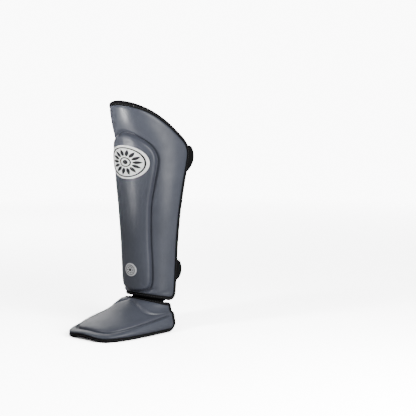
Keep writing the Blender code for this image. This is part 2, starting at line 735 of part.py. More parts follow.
def sole_strap_path(forward):
    """The centre line of the sole strap at one distance forward: down one wall, under the foot and up again."""
    height = np.linspace(SOLE_STRAP_HOLD, SOLE_STRAP_TURN * SOLE_STRAP_HOLD, SOLE_WALL_CELLS + 1)
    known_height = []
    known_across = []
    for row in FOOT_ROWS[:3]:
        curve = foot_curve(row)[SECTION_SAMPLES - 1 :]
        known_across.append(np.interp(-forward, curve[:, 1], curve[:, 0]))
        known_height.append(np.interp(-forward, curve[:, 1], curve[:, 2]))
    slope = np.gradient(known_across, known_height)
    thickness = FOOT_THICKNESS * np.hypot(1.0, np.interp(height, known_height, slope))
    inward = thickness + SOLE_STRAP_CLEARANCE + SOLE_STRAP_THICKNESS / 2
    wall = np.interp(height, known_height, known_across) - inward
    turn = np.linspace(0.0, math.pi / 2, SOLE_TURN_CELLS + 1)
    bend = height[-1] - SOLE_STRAP_RISE
    across = np.concatenate([wall[:-1], wall[-1] - bend * (1 - np.cos(turn)), [wall[-1] / 2, 0.0]])
    level = np.concatenate([height[:-1], height[-1] - bend * np.sin(turn), [SOLE_STRAP_RISE, SOLE_STRAP_RISE]])
    half = np.stack([across, np.full(len(across), -forward), level], axis=1)
    return np.concatenate([half, mirrored(half)[1:]])


def sole_strap_skin():
    """The elastic under the foot."""
    paths = [sole_strap_path(SOLE_STRAP_FORWARD + SOLE_STRAP_WIDTH * share) for share in (-0.5, 0.0, 0.5)]
    offsets = []
    for path in paths:
        tangent = np.gradient(path, axis=0)
        offsets.append(unit(np.stack([tangent[:, 2], np.zeros(len(path)), -tangent[:, 0]], axis=1)))
    return band_skin(paths, offsets, SOLE_STRAP_THICKNESS)


def ankle_strip_paths():
    """The middle lines of the ankle strip, from inside the foot pad up to inside the shin pad."""
    behind = WING_THICKNESS + GAP + ANKLE_STRIP_THICKNESS
    shares = np.linspace(-ANKLE_STRIP_SPAN, ANKLE_STRIP_SPAN, ANKLE_STRIP_CELLS + 1)
    bottom = bottom_edge_height(shares)
    paths = []
    for rise in ANKLE_STRIP_RISES:
        height = bottom + rise * ANKLE_STRIP_REACH
        paths.append(shin_surface(np.stack([shares * shin_reach(height), height], axis=1), -behind))
    grid, _ = foot_grid()
    normals = grid_normals(grid)
    below = FOOT_THICKNESS + GAP + ANKLE_STRIP_THICKNESS / 2
    past_rim = grid[-1] + unit(grid[-1] - grid[-2]) * (GAP + ANKLE_STRIP_THICKNESS)
    for whole, normal in ((past_rim, normals[-1]), (grid[-2], normals[-2]), (grid[-3], normals[-3])):
        paths.append(along(whole - normal * below, 0.5 + 0.5 * shares))
    return np.array(paths[::-1])


def ankle_strip_skin():
    """The strip inside the front of the ankle that joins the two pads."""
    paths = ankle_strip_paths()
    return band_skin(list(paths), list(grid_normals(paths)), ANKLE_STRIP_THICKNESS)


def badge_skin(height, half_width, half_tall):
    """A thin oval patch that follows the raised panel's skin."""
    angle = np.linspace(0.0, 2 * math.pi, BADGE_CELLS + 1)[:-1]
    oval = np.stack([half_width * np.cos(angle), half_tall * np.sin(angle)], axis=1)
    centre = np.array([0.0, height])
    skin = Skin()
    rings = []
    for side in (0.0, 1.0):
        level = PANEL_RISE + BADGE_GAP + side * BADGE_THICKNESS
        numbers = [skin.row(shin_surface(centre + oval * share, level)) for share in BADGE_RINGS]
        skin.bands(numbers)
        skin.cap(numbers[-1])
        rings.append(numbers[0])
    skin.strip(rings[0], rings[1])
    return skin


def as_object(name, skin, material, collection, shift):
    """Makes one object from a skin, with its faces pointing out."""
    mesh = bpy.data.meshes.new(name)
    points = skin.all_points() + shift
    faces = [tuple(int(number) for number in face) for face in skin.faces]
    mesh.from_pydata([tuple(point) for point in points], [], faces)
    work = bmesh.new()
    work.from_mesh(mesh)
    bmesh.ops.recalc_face_normals(work, faces=work.faces[:])
    work.to_mesh(mesh)
    work.free()
    mesh.shade_smooth()
    mesh.set_sharp_from_angle(angle=math.radians(SHARP_ANGLE))
    mesh.materials.append(material)
    obj = bpy.data.objects.new(name, mesh)
    collection.objects.link(obj)
    return obj


def material_of(name, colour, roughness, metallic):
    material = bpy.data.materials.new(name)
    material.use_nodes = True
    shader = material.node_tree.nodes["Principled BSDF"]
    shader.inputs["Base Color"].default_value = colour
    shader.inputs["Roughness"].default_value = roughness
    shader.inputs["Metallic"].default_value = metallic
    return material


def main():
    for obj in list(bpy.data.objects):
        bpy.data.objects.remove(obj, do_unlink=True)
    collection = bpy.data.collections.new(PART_NAME)
    bpy.context.scene.collection.children.link(collection)
    leather = material_of(*GREY_LEATHER)
    tape = material_of(*BLACK_TAPE)
    webbing = material_of(*BLACK_WEBBING)
    upper = (UPPER_STRAP_HEIGHT, UPPER_STRAP_WIDTH, UPPER_STRAP_BOW)
    lower = (LOWER_STRAP_HEIGHT, LOWER_STRAP_WIDTH, LOWER_STRAP_BOW)
    shin_badge = (SHIN_BADGE_HEIGHT, SHIN_BADGE_HALF_WIDTH, SHIN_BADGE_HALF_TALL)
    ankle_badge = (ANKLE_BADGE_HEIGHT, ANKLE_BADGE_HALF_WIDTH, ANKLE_BADGE_HALF_TALL)
    pieces = (
        ("shin_pad", shin_pad_skin(), leather),
        ("shin_binding", tape_skin(*shin_rim()), tape),
        ("foot_pad", foot_pad_skin(), leather),
        ("foot_binding", tape_skin(*foot_rim()), tape),
        ("ankle_strip", ankle_strip_skin(), webbing),
        ("upper_strap", strap_skin(*upper), webbing),
        ("upper_strap_tab", tab_skin(*upper), webbing),
        ("lower_strap", strap_skin(*lower), webbing),
        ("lower_strap_tab", tab_skin(*lower), webbing),
        ("sole_strap", sole_strap_skin(), webbing),
        ("shin_badge", badge_skin(*shin_badge), material_of(*WHITE_RUBBER)),
        ("ankle_badge", badge_skin(*ankle_badge), material_of(*SILVER_RUBBER)),
    )
    points = np.concatenate([skin.all_points() for _, skin, _ in pieces])
    middle = (points.min(axis=0) + points.max(axis=0)) / 2
    shift = np.array([0.0, -middle[1], -points[:, 2].min()])
    for name, skin, material in pieces:
        as_object(name, skin, material, collection, shift)


main()
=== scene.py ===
"""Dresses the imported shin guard: padded leather, edge tape, webbing, stitching, badges, studio and camera.

Lengths are in metres, +Z is up, the front faces -Y. The sizes and tables repeat those of the part's source.
"""

import math
from collections import namedtuple

import bmesh
import bpy
import numpy as np
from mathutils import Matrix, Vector


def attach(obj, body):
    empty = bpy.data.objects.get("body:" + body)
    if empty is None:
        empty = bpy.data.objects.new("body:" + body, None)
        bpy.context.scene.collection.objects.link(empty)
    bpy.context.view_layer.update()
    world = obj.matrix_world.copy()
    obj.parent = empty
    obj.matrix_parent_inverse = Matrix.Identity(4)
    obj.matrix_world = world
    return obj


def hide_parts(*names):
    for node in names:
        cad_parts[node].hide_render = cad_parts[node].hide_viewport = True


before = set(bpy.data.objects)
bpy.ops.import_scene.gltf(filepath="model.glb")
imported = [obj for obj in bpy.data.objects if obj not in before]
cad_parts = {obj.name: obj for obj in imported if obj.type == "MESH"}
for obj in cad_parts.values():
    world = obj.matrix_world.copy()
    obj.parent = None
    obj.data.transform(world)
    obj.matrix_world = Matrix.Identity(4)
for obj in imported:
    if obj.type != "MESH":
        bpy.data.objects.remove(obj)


def table(columns, *rows):
    """Rows with named columns."""
    row_type = namedtuple("Row", columns)
    return tuple(row_type(*row) for row in rows)


# Shin pad sizes
SHIN_BOTTOM = 0.063
SHIN_TOP = 0.428
SHIN_HALF_WIDTH = 0.074
SHIN_FRONT = 0.091
SHIN_REAR = 0.038
TOP_EDGE_DROP = 0.086
BOTTOM_EDGE_DROP = 0.014
SHIN_CORNER = 0.024
WING_THICKNESS = 0.013
PANEL_RISE = 0.006
PANEL_TOP = 0.368
PANEL_BOTTOM = 0.0745
PANEL_HALF_WIDTH = 0.060
CHANNEL_WIDTH = 0.0068
CHANNEL_DEPTH = 0.0035

# Foot pad sizes
FOOT_HALF_WIDTH = 0.071
FOOT_TOE = 0.180
FOOT_HEIGHT = 0.061
FOOT_REAR = 0.006
FOOT_THICKNESS = 0.011
FOOT_GROOVE_DEPTH = 0.003
TOE_ARCH = 0.004
SOLE_REAR_ROUND = 0.010
COLLAR_END = 0.002
COLLAR_TUCK = 0.006
COLLAR_GAP = 0.001

# Edge tape sizes
TAPE_WIDTH = 0.0075
TAPE_THICKNESS = 0.0012
EDGE_THICKNESS = 0.006
EDGE_LEVEL = 0.006
ROLL_WIDTH = 0.006

# Sizes of the straps, the badges and the gap between neighbouring pieces
STRAP_THICKNESS = 0.003
STRAP_HOLD = 0.018
STRAP_CROWN = 0.008
STRAP_SQUARENESS = 2.1
TAB_REACH = 0.036
TAB_THICKNESS = 0.002
TAB_MARGIN = 0.003
TAB_CLEARANCE = 0.0007
SOLE_STRAP_FORWARD = 0.070
SOLE_STRAP_WIDTH = 0.034
SOLE_STRAP_THICKNESS = 0.002
SOLE_STRAP_HOLD = 0.017
SOLE_STRAP_RISE = 0.0022
SOLE_STRAP_CLEARANCE = 0.0001
ANKLE_STRIP_REACH = 0.024
ANKLE_STRIP_THICKNESS = 0.0015
ANKLE_STRIP_SPAN = 0.84
BADGE_THICKNESS = 0.0012
BADGE_GAP = 0.0008
GAP = 0.0005

# Levels from the middle of the edge: of the pad's own faces and of the tape's outer face
EDGE_HALF = EDGE_THICKNESS / 2
TAPE_OUTSIDE = EDGE_HALF + GAP + TAPE_THICKNESS

# Sections of the shin pad, bottom to top: height is a share of the pad's length above its bottom edge, the
# others are shares of SHIN_HALF_WIDTH, SHIN_REAR and SHIN_FRONT
SHIN_SECTIONS = table(
    "height half_width rear front",
    (-0.05, 0.73, 0.27, 0.510),
    (0.00, 0.74, 0.29, 0.523),
    (0.15, 0.775, 0.33, 0.550),
    (0.30, 0.845, 0.29, 0.572),
    (0.44, 0.925, 0.31, 0.600),
    (0.58, 0.965, 0.51, 0.635),
    (0.70, 0.985, 0.76, 0.672),
    (0.78, 1.00, 0.89, 0.722),
    (0.83, 1.00, 0.94, 0.778),
    (0.92, 1.00, 0.97, 0.900),
    (1.00, 1.00, 1.00, 1.00),
)
SHIN_SQUARENESS = 2.2

# Top edge of the shin pad: how far it has dropped at each share of the way from the centre to the rear edge
TOP_EDGE = table(
    "way drop",
    (0.00, 0.00),
    (0.14, 0.02),
    (0.29, 0.085),
    (0.44, 0.21),
    (0.58, 0.38),
    (0.76, 0.65),
    (1.00, 1.00),
)

# Outline of the raised panel, bottom to top: shares of the panel's length and of PANEL_HALF_WIDTH
PANEL_OUTLINE = table(
    "height half_width",
    (0.000, 0.00),
    (0.004, 0.25),
    (0.013, 0.42),
    (0.032, 0.53),
    (0.064, 0.585),
    (0.110, 0.605),
    (0.200, 0.61),
    (0.320, 0.60),
    (0.430, 0.62),
    (0.560, 0.67),
    (0.680, 0.79),
    (0.780, 0.90),
    (0.850, 0.95),
    (0.910, 0.85),
    (0.955, 0.62),
    (0.990, 0.28),
    (1.000, 0.00),
)
PANEL_LOW_CORNER_ROW = 3
PANEL_HIGH_CORNER_ROW = 13

# Rows of the foot pad, toe to ankle: each is a U seen from above, with half_width a share of FOOT_HALF_WIDTH,
# front of FOOT_TOE, rear of FOOT_REAR, the two heights of FOOT_HEIGHT, arch of TOE_ARCH, lift of
# FOOT_GROOVE_DEPTH and thickness of FOOT_THICKNESS; lean is how far the inner skin is set square to the
# upright edge
FOOT_COLUMNS = "half_width front rear front_height rear_height squareness arch lift thickness lean"
FOOT_ROWS = table(
    FOOT_COLUMNS,
    (0.998, 0.995, 1.00, 0.155, 0.220, 4.0, 1.0, 0.0, 1.00, 0.90),
    (0.975, 0.968, 0.90, 0.185, 0.340, 3.9, 0.9, 0.3, 0.90, 0.70),
    (0.940, 0.928, 0.80, 0.220, 0.480, 3.7, 0.8, 0.0, 0.75, 0.45),
    (0.925, 0.912, 0.75, 0.235, 0.530, 3.5, 0.7, -1.0, 0.70, 0.36),
    (0.912, 0.895, 0.70, 0.270, 0.560, 3.4, 0.6, 0.2, 0.85, 0.28),
    (0.885, 0.850, 0.65, 0.315, 0.590, 2.9, 0.4, 0.7, 0.95, 0.15),
    (0.840, 0.740, 0.60, 0.435, 0.620, 2.4, 0.2, 0.6, 1.00, 0.00),
    (0.805, 0.580, 0.50, 0.615, 0.650, 2.2, 0.0, 0.3, 1.00, 0.00),
    (0.785, 0.440, 0.40, 0.820, 0.680, 2.15, 0.0, 0.0, 1.00, 0.00),
    (0.780, 0.345, 0.35, 0.950, 0.705, 2.15, 0.0, 0.0, 1.00, 0.00),
)
SOLE_SQUARENESS = 4.0
TOE_ARCH_SHARE = 0.62
TOE_ARCH_POWER = 1.5

# Calf straps and badges
STRAPS = table(
    "name height width bow",
    ("upper_strap", 0.318, 0.049, 0.039),
    ("lower_strap", 0.107, 0.042, 0.031),
)
BADGES = table(
    "node slot height half_width half_tall",
    ("shin_badge", "white_rubber", 0.317, 0.046, 0.032),
    ("ankle_badge", "silver_rubber", 0.1145, 0.0130, 0.0125),
)

# Shares, ratios and numbers of cells that the solids have too
STRAP_CROWN_EASE = 3.0
SOLE_STRAP_TURN = 0.3
ANKLE_STRIP_RISES = (1.0, 0.55, 0.1)
SMALLEST_MITRE = 0.5
END_CROWDING = 0.55
ANKLE_STRIP_CELLS = 10
SECTION_SAMPLES = 65
ROW_SAMPLES = 20
OUTLINE_SAMPLES = 81
CORNER_SAMPLES = 13
CORNER_STEP = 6
SOLE_WALL_CELLS = 3
SOLE_TURN_CELLS = 4
FOOT_CELLS_ACROSS = 26
PROBE = 0.0005
NORMAL_EASING = 3
MIRROR = np.array([-1.0, 1.0, 1.0])
SHIFT = np.array([0.0, 0.049447, 0.0])

# Density of the dressed pieces
FINE_ACROSS = 36
FINE_ALONG = 62
FOOT_FINE_ACROSS = 84
FOOT_SUBROWS = 5
FINE_HELD = 6
FINE_STRAP_TURN = 26
FINE_STRAP_LINES = 9
FINE_TAB_CELLS = 24
SOLE_STRAP_LINES = 7
SOLE_STRAP_POINTS = 61
ANKLE_STRIP_LINES = 16
ANKLE_STRIP_POINTS = 41
WING_RINGS = 8
INNER_RINGS = 8
COLLAR_SHARES = (0.25, 0.5, 0.75)

# Edges of the pads under the tape, from the rim in: distance in from the rim and level from the middle
RIM_ROUND = 0.0019
SHIN_OUTER_EDGE = table(
    "distance level",
    (RIM_ROUND, EDGE_HALF),
    (TAPE_WIDTH, EDGE_HALF),
    (TAPE_WIDTH + 0.0006, 0.7 * EDGE_HALF + 0.3 * TAPE_OUTSIDE),
    (TAPE_WIDTH + 0.0012, TAPE_OUTSIDE - 0.0004),
)
SHIN_INNER_EDGE = table(
    "distance level",
    (RIM_ROUND, EDGE_HALF),
    (TAPE_WIDTH, EDGE_HALF),
    (TAPE_WIDTH + 0.0012, TAPE_OUTSIDE - 0.0002),
)
FOOT_EDGE = table(
    "distance level",
    (RIM_ROUND, EDGE_HALF),
    (TAPE_WIDTH, EDGE_HALF),
    (TAPE_WIDTH + 0.0008, TAPE_OUTSIDE - 0.0004),
)

# Rolled edge of the shin pad's leather beside the tape: shares of the roll's width and of its drop to the
# wing. The roll takes at most a share of the room between the tape and the panel, on the inside too
ROLL_STEPS = table("share rise", (0.12, 0.42), (0.3, 0.68), (0.55, 0.88), (0.8, 0.97), (1.0, 1.0))
ROLL_START = 0.0015
ROLL_SPREAD = 2.2
ROLL_ROOM = 0.32
INNER_ROLL_SHARES = (0.3, 0.65, 1.0)
INNER_ROLL_SPREAD = 2.0
INNER_ROLL_ROOM = 0.3
WING_CROWN = 0.0009

# Channel beside the raised panel, from outside in: share of the channel's width out from the panel's edge,
# negative inside it, level as shares of the channel's depth and of the panel's rise, and how firmly the
# leather is held while the pad is puffed
CHANNEL_ROOM = 0.6
CHANNEL_RINGS = table(
    "share depth rise hold",
    (1.30, -0.02, 0.0, 0.35),
    (1.10, 0.10, 0.0, 0.35),
    (0.95, 0.34, 0.0, 0.35),
    (0.80, 0.68, 0.0, 0.35),
    (0.66, 0.93, 0.0, 1.0),
    (0.54, 1.06, 0.0, 1.0),
    (0.43, 1.12, 0.0, 1.0),
    (0.34, 1.00, 0.0, 1.0),
    (0.24, 0.55, 0.0, 1.0),
    (0.12, 0.0, 0.05, 0.35),
    (0.00, 0.0, 0.38, 0.35),
    (-0.14, 0.0, 0.62, 0.35),
    (-0.30, 0.0, 0.80, 0.08),
    (-0.55, 0.0, 0.94, 0.08),
    (-0.90, 0.0, 1.00, 0.08),
    (-1.40, 0.0, 1.03, 0.08),
)
PANEL_MIDDLE = 1.03

# Creases of the shin pad: from and to points of the flat pattern, width and depth
SHIN_CREASES = table(
    "from_across from_height to_across to_height width depth",
    (0.016, 0.0715, 0.046, 0.0800, 0.0026, 0.0026),
    (0.050, 0.0700, 0.078, 0.0735, 0.0026, 0.0008),
)

# Fold of the foot pad at the ankle: shares of the way to the side, row numbers, width in rows and depth
INSTEP_FOLD = table("inner outer inner_row outer_row width depth", (0.10, 0.93, 9.15, 5.2, 0.20, 0.0036))[0]
FOOT_SIDE_FADE = 5.0
GROOVE_ROW = 3.0
COLLAR_ROW = 8.7

# Puffing of the pads: how firmly the free leather is held, the furthest move and the cloth's settings
WING_HOLD = 0.06
PANEL_HOLD = 0.05
SHIN_PUFF = 0.0016
FOOT_PUFF = 0.0012
PUFF_FRAMES = 20
SMALLEST_MOVE = 1e-9
CLOTH_SETTINGS = {
    "quality": 6,
    "mass": 0.4,
    "tension_stiffness": 18,
    "compression_stiffness": 12,
    "shear_stiffness": 6,
    "bending_stiffness": 2.5,
    "use_pressure": True,
    "uniform_pressure_force": 4.0,
    "pin_stiffness": 1.0,
}

# Tape folds, webbing edges and thread. A stitch is rings along it: share of its length and of its radius
TAPE_LIP = 0.0006
TAPE_FOLD = 0.0026
TAPE_FOLD_POINTS = 9
BAND_EDGE = 0.55
STITCH_STEP = 0.0046
STITCH_LENGTH = 0.0030
STITCH_IN = 0.0046
STITCH_RAISE = 0.0001
STITCH_SINK = 0.9
STITCH_SIDES = 6
STITCH_RINGS = ((-0.5, 0.35), (-0.36, 0.9), (0.0, 1.1), (0.36, 0.9), (0.5, 0.35))
TAPE_THREAD = 0.00028
TAB_THREAD = 0.0003

# Badges: height as a share of the thickness at each share of the way out, and the rings of their meshes
BADGE_PROFILE = table(
    "share height",
    (0.0, 0.90),
    (0.84, 0.86),
    (0.88, 0.97),
    (0.93, 1.0),
    (0.975, 0.9),
    (1.0, 0.45),
)
BADGE_RINGS = (0.03, 0.12, 0.25, 0.4, 0.55, 0.7, 0.8, 0.84, 0.865, 0.88, 0.905, 0.93, 0.955, 0.975, 0.99, 1.0)
BADGE_UNDER_RINGS = (1.0, 0.75, 0.5, 0.25, 0.03)
BADGE_CELLS = 96
BADGE_SINK = 0.0007
MARK_RAISE = 0.00035
MARK_SHARP_ANGLE = 35.0
RING_CELLS = 96
DISC_CELLS = 40
DOT_CELLS = 12
PETAL_ROWS = 9

# Colours, lights, floor and surround
LEATHER_DARK = (0.050, 0.055, 0.071)
LEATHER_MID = (0.058, 0.064, 0.083)
LEATHER_LIGHT = (0.067, 0.073, 0.094)
THREAD = (0.055, 0.055, 0.058)
WHITE = (1.0, 1.0, 1.0, 1.0)
WAVE_SCALE = 0.32
WOVEN_SHINE = 0.08
WOVEN_LOOKS = table(
    "name dark light pitch roughness rib relief",
    ("lining_look", (0.012, 0.012, 0.014), (0.035, 0.035, 0.038), 0.0012, 0.9, None, 0.5),
    ("tape_look", (0.0032, 0.0032, 0.0036), (0.0090, 0.0090, 0.0096), 0.0009, 0.72, None, 0.6),
    ("webbing_look", (0.0036, 0.0036, 0.0042), (0.012, 0.012, 0.013), 0.0013, 0.8, 0.0036, 0.6),
    ("hook_look", (0.009, 0.009, 0.010), (0.030, 0.030, 0.031), 0.0016, 0.9, None, 0.9),
)
MOULDED_LOOKS = table(
    "name colour dark roughness metallic shine",
    ("white_badge_look", (0.93, 0.93, 0.92), (0.82, 0.82, 0.81), 0.42, 0.0, 0.5),
    ("black_mark_look", (0.012, 0.012, 0.014), (0.020, 0.020, 0.022), 0.55, 0.0, 0.15),
    ("silver_badge_look", (0.62, 0.63, 0.64), (0.44, 0.45, 0.47), 0.36, 0.25, 0.5),
    ("silver_mark_look", (0.045, 0.046, 0.050), (0.03, 0.031, 0.034), 0.5, 0.0, 0.2),
)
SOFTBOXES = table(
    "name aim azimuth elevation distance width height power spread",
    ("front_softbox", 0.34, -14.0, 30.0, 1.0, 0.18, 0.5, 3.4, 150.0),
    ("low_softbox", 0.44, -24.0, -24.0, 0.9, 0.10, 0.12, 0.26, 28.0),
    ("side_softbox", 0.26, 82.0, 16.0, 1.5, 1.00, 1.1, 33.0, 180.0),
    ("top_softbox", 0.20, 45.0, 72.0, 1.8, 1.2, 1.2, 1.0, 180.0),
    ("back_softbox", 0.20, -120.0, 25.0, 1.8, 0.8, 1.2, 8.0, 180.0),
)
WORLD_FILL = 0.26
WORLD_SEEN = 10.0
FLOOR_RADIUS = 3.0
FLOOR_LEVEL = -0.0002
FLOOR_GAIN = 9.0
FLOOR_FADE = (0.5, 2.4)

# Camera: the photograph is square, and the target's pixel is where it shows the object's axis
PHOTO_SIZE = 416
SENSOR_WIDTH = 36.0
CAMERA_AZIMUTH = 42.0
CAMERA_ELEVATION = 6.5
CAMERA_DISTANCE = 2.3
CAMERA_TARGET_HEIGHT = 0.22
TARGET_PIXEL = (133.0, 213.0)
PIXELS_PER_MM = 0.5376


def smooth_through(known_x, known_y, x):
    """A smooth curve through known points, carried straight on past its ends."""
    known_x = np.asarray(known_x, float)
    known_y = np.asarray(known_y, float)
    x = np.asarray(x, float)
    slope = np.gradient(known_y, known_x)
    left = np.clip(np.searchsorted(known_x, x) - 1, 0, len(known_x) - 2)
    span = known_x[left + 1] - known_x[left]
    t = np.clip((x - known_x[left]) / span, 0.0, 1.0)
    start = known_y[left] * (1 + 2 * t) * (1 - t) ** 2 + slope[left] * span * t * (1 - t) ** 2
    end = known_y[left + 1] * t * t * (3 - 2 * t) + slope[left + 1] * span * t * t * (t - 1)
    past_end = np.maximum(x - known_x[-1], 0.0) * slope[-1]
    before_start = np.minimum(x - known_x[0], 0.0) * slope[0]
    return start + end + past_end + before_start


def column(rows, name):
    """One named column of a table."""
    return np.array([getattr(row, name) for row in rows])


def mirrored(points):
    """The same points on the other side of the middle plane, in reverse order."""
    return (points * MIRROR[: points.shape[1]])[::-1]


def crowded(count):
    """Shares from 0 to 1, closer together at both ends."""
    even = np.linspace(0.0, 1.0, count + 1)
    return (1 - END_CROWDING) * even + END_CROWDING * 0.5 * (1 - np.cos(math.pi * even))


def along(points, shares):
    """Points at these shares of a polyline's length."""
    steps = np.linalg.norm(np.diff(points, axis=0), axis=1)
    distance = np.concatenate([[0.0], np.cumsum(steps)])
    wanted = np.asarray(shares) * distance[-1]
    return np.stack([np.interp(wanted, distance, points[:, axis]) for axis in range(points.shape[1])], axis=1)


def u_section(half_width, rear, front, squareness):
    """A U seen from above, from its front centre to its rear end, as (across, forward) for each section."""
    turn = np.linspace(0.0, math.pi / 2, SECTION_SAMPLES)
    power = 2.0 / np.asarray(squareness, float)[..., None]
    across = np.asarray(half_width)[..., None] * np.sin(turn) ** power
    reach = (np.asarray(front) - np.asarray(rear))[..., None]
    forward = np.asarray(rear)[..., None] + reach * np.abs(np.cos(turn)) ** power
    return across, forward


def shin_section(height):
    """The shin pad's section at each height, as (across, forward, distance from the front centre)."""
    share = (np.asarray(height, float) - SHIN_BOTTOM) / (SHIN_TOP - SHIN_BOTTOM)
    known = column(SHIN_SECTIONS, "height")
    half_width = SHIN_HALF_WIDTH * smooth_through(known, column(SHIN_SECTIONS, "half_width"), share)
    rear = -SHIN_REAR * smooth_through(known, column(SHIN_SECTIONS, "rear"), share)
    front = SHIN_FRONT * smooth_through(known, column(SHIN_SECTIONS, "front"), share)
    across, forward = u_section(half_width, rear, front, np.full(share.shape, SHIN_SQUARENESS))
    steps = np.hypot(np.diff(across, axis=-1), np.diff(forward, axis=-1))
    distance = np.concatenate([np.zeros(share.shape + (1,)), np.cumsum(steps, axis=-1)], axis=-1)
    return across, forward, distance


def shin_reach(height):
    """Distance round the section from the front centre to the rear edge."""
    return shin_section(height)[2][..., -1]


def shin_base(flat):
    """Points of the shin pad's smooth outer skin for (distance round, height) pairs of its flat pattern."""
    across, forward, distance = shin_section(flat[:, 1])
    wanted = np.minimum(np.abs(flat[:, 0]), distance[:, -1])
    left = np.clip((distance <= wanted[:, None]).sum(axis=1) - 1, 0, SECTION_SAMPLES - 2)
    row = np.arange(len(flat))
    share = (wanted - distance[row, left]) / (distance[row, left + 1] - distance[row, left])
    x = across[row, left] + share * (across[row, left + 1] - across[row, left])
    f = forward[row, left] + share * (forward[row, left + 1] - forward[row, left])
    past = np.abs(flat[:, 0]) - wanted
    return np.stack([np.sign(flat[:, 0]) * x, past - f, flat[:, 1]], axis=1)


def unit(vectors):
    """Vectors of the same directions, one long."""
    return vectors / np.linalg.norm(vectors, axis=-1, keepdims=True)


def shin_normals(flat):
    """Outward unit normals of the shin pad's smooth skin."""
    side = np.array([PROBE, 0.0])
    rise = np.array([0.0, PROBE])
    across = shin_base(flat + side) - shin_base(flat - side)
    up = shin_base(flat + rise) - shin_base(flat - rise)
    return unit(np.cross(across, up))


def shin_surface(flat, level):
    """Points at a level above the shin pad's smooth skin, or below it where the level is negative."""
    return shin_base(flat) + shin_normals(flat) * np.broadcast_to(level, len(flat))[:, None]


def rounded_corner(before, corner, after, radius):
    """Points of a rounded corner between two straight runs."""
    start = corner + unit(before - corner) * radius
    end = corner + unit(after - corner) * radius
    t = np.linspace(0.0, 1.0, CORNER_SAMPLES)[:, None]
    return (1 - t) ** 2 * start + 2 * t * (1 - t) * corner + t ** 2 * end


def top_edge_height(way):
    """Height of the shin pad's top edge at a share of the way from the centre to the rear edge."""
    drop = smooth_through(column(TOP_EDGE, "way"), column(TOP_EDGE, "drop"), np.abs(way))
    return SHIN_TOP - TOP_EDGE_DROP * drop


def bottom_edge_height(way):
    """Height of the shin pad's bottom edge, which dips a little towards the rear."""
    return SHIN_BOTTOM - BOTTOM_EDGE_DROP * np.abs(way) ** 2


def shin_outline_sides():
    """The flat pattern's bottom, right, top and left sides, anticlockwise, meeting mid-corner."""
    way = np.linspace(-1.0, 1.0, OUTLINE_SAMPLES)
    bottom_heights = bottom_edge_height(way)
    bottom = np.stack([way * shin_reach(bottom_heights), bottom_heights], axis=1)
    top_heights = top_edge_height(way)
    top = np.stack([way * shin_reach(top_heights), top_heights], axis=1)[::-1]
    heights = np.linspace(bottom[-1, 1], top[0, 1], OUTLINE_SAMPLES)
    right = np.stack([shin_reach(heights), heights], axis=1)
    low = rounded_corner(bottom[-CORNER_STEP], bottom[-1], right[CORNER_STEP], SHIN_CORNER)
    high = rounded_corner(right[-CORNER_STEP], right[-1], top[CORNER_STEP], SHIN_CORNER)
    half = CORNER_SAMPLES // 2
    right_run = right[(right[:, 1] > low[-1, 1]) & (right[:, 1] < high[0, 1])]
    bottom_run = bottom[np.abs(bottom[:, 0]) < bottom[-1, 0] - SHIN_CORNER]
    top_run = top[np.abs(top[:, 0]) < top[0, 0] - SHIN_CORNER]
    right_side = np.concatenate([low[half:], right_run, high[: half + 1]])
    top_side = np.concatenate([high[half:], top_run, mirrored(high)[: half + 1]])
    bottom_side = np.concatenate([mirrored(low)[half:], bottom_run, low[: half + 1]])
    return bottom_side, right_side, top_side, mirrored(right_side)


def panel_outline_sides():
    """The raised panel's bottom, right, top and left sides in the flat pattern, anticlockwise."""
    rows = np.arange(len(PANEL_OUTLINE))
    last = len(PANEL_OUTLINE) - 1
    fine = np.linspace(0, last, last * ROW_SAMPLES + 1)
    length = PANEL_TOP - PANEL_BOTTOM
    height = PANEL_BOTTOM + length * smooth_through(rows, column(PANEL_OUTLINE, "height"), fine)
    reach = PANEL_HALF_WIDTH * smooth_through(rows, column(PANEL_OUTLINE, "half_width"), fine)
    half = np.stack([reach, height], axis=1)
    low = PANEL_LOW_CORNER_ROW * ROW_SAMPLES
    high = PANEL_HIGH_CORNER_ROW * ROW_SAMPLES
    bottom = np.concatenate([mirrored(half[: low + 1]), half[1 : low + 1]])
    right = half[low : high + 1]
    top = np.concatenate([half[high:], mirrored(half[high:-1])])
    return bottom, right, top, mirrored(right)


def loop_of(sides, counts):
    """One closed loop of stations from four sides, each with its own number of cells."""
    parts = [along(side, crowded(count))[:-1] for side, count in zip(sides, counts)]
    return np.concatenate(parts)


def inset(loop, distance):
    """The loop moved inwards by a distance, station by station."""
    ahead = np.roll(loop, -1, axis=0) - loop
    behind = loop - np.roll(loop, 1, axis=0)
    tangent = unit(unit(ahead) + unit(behind))
    inward = np.stack([-tangent[:, 1], tangent[:, 0]], axis=1)
    square = unit(np.stack([-ahead[:, 1], ahead[:, 0]], axis=1))
    mitre = np.clip((inward * square).sum(axis=1), SMALLEST_MITRE, 1.0)
    return loop + inward * (distance / mitre)[:, None]


def patch_inside(loop, across, rows):
    """A grid of points that fills a four-sided loop."""
    bottom = loop[: across + 1]
    right = loop[across : across + rows + 1]
    top = loop[across + rows : 2 * across + rows + 1][::-1]
    left = np.concatenate([loop[2 * across + rows :], loop[:1]])[::-1]
    u = crowded(across)[None, :, None]
    v = crowded(rows)[:, None, None]
    between_ends = (1 - v) * bottom[None] + v * top[None]
    between_sides = (1 - u) * left[:, None] + u * right[:, None]
    low = (1 - u) * bottom[0] + u * bottom[-1]
    high = (1 - u) * top[0] + u * top[-1]
    return between_ends + between_sides - ((1 - v) * low + v * high)


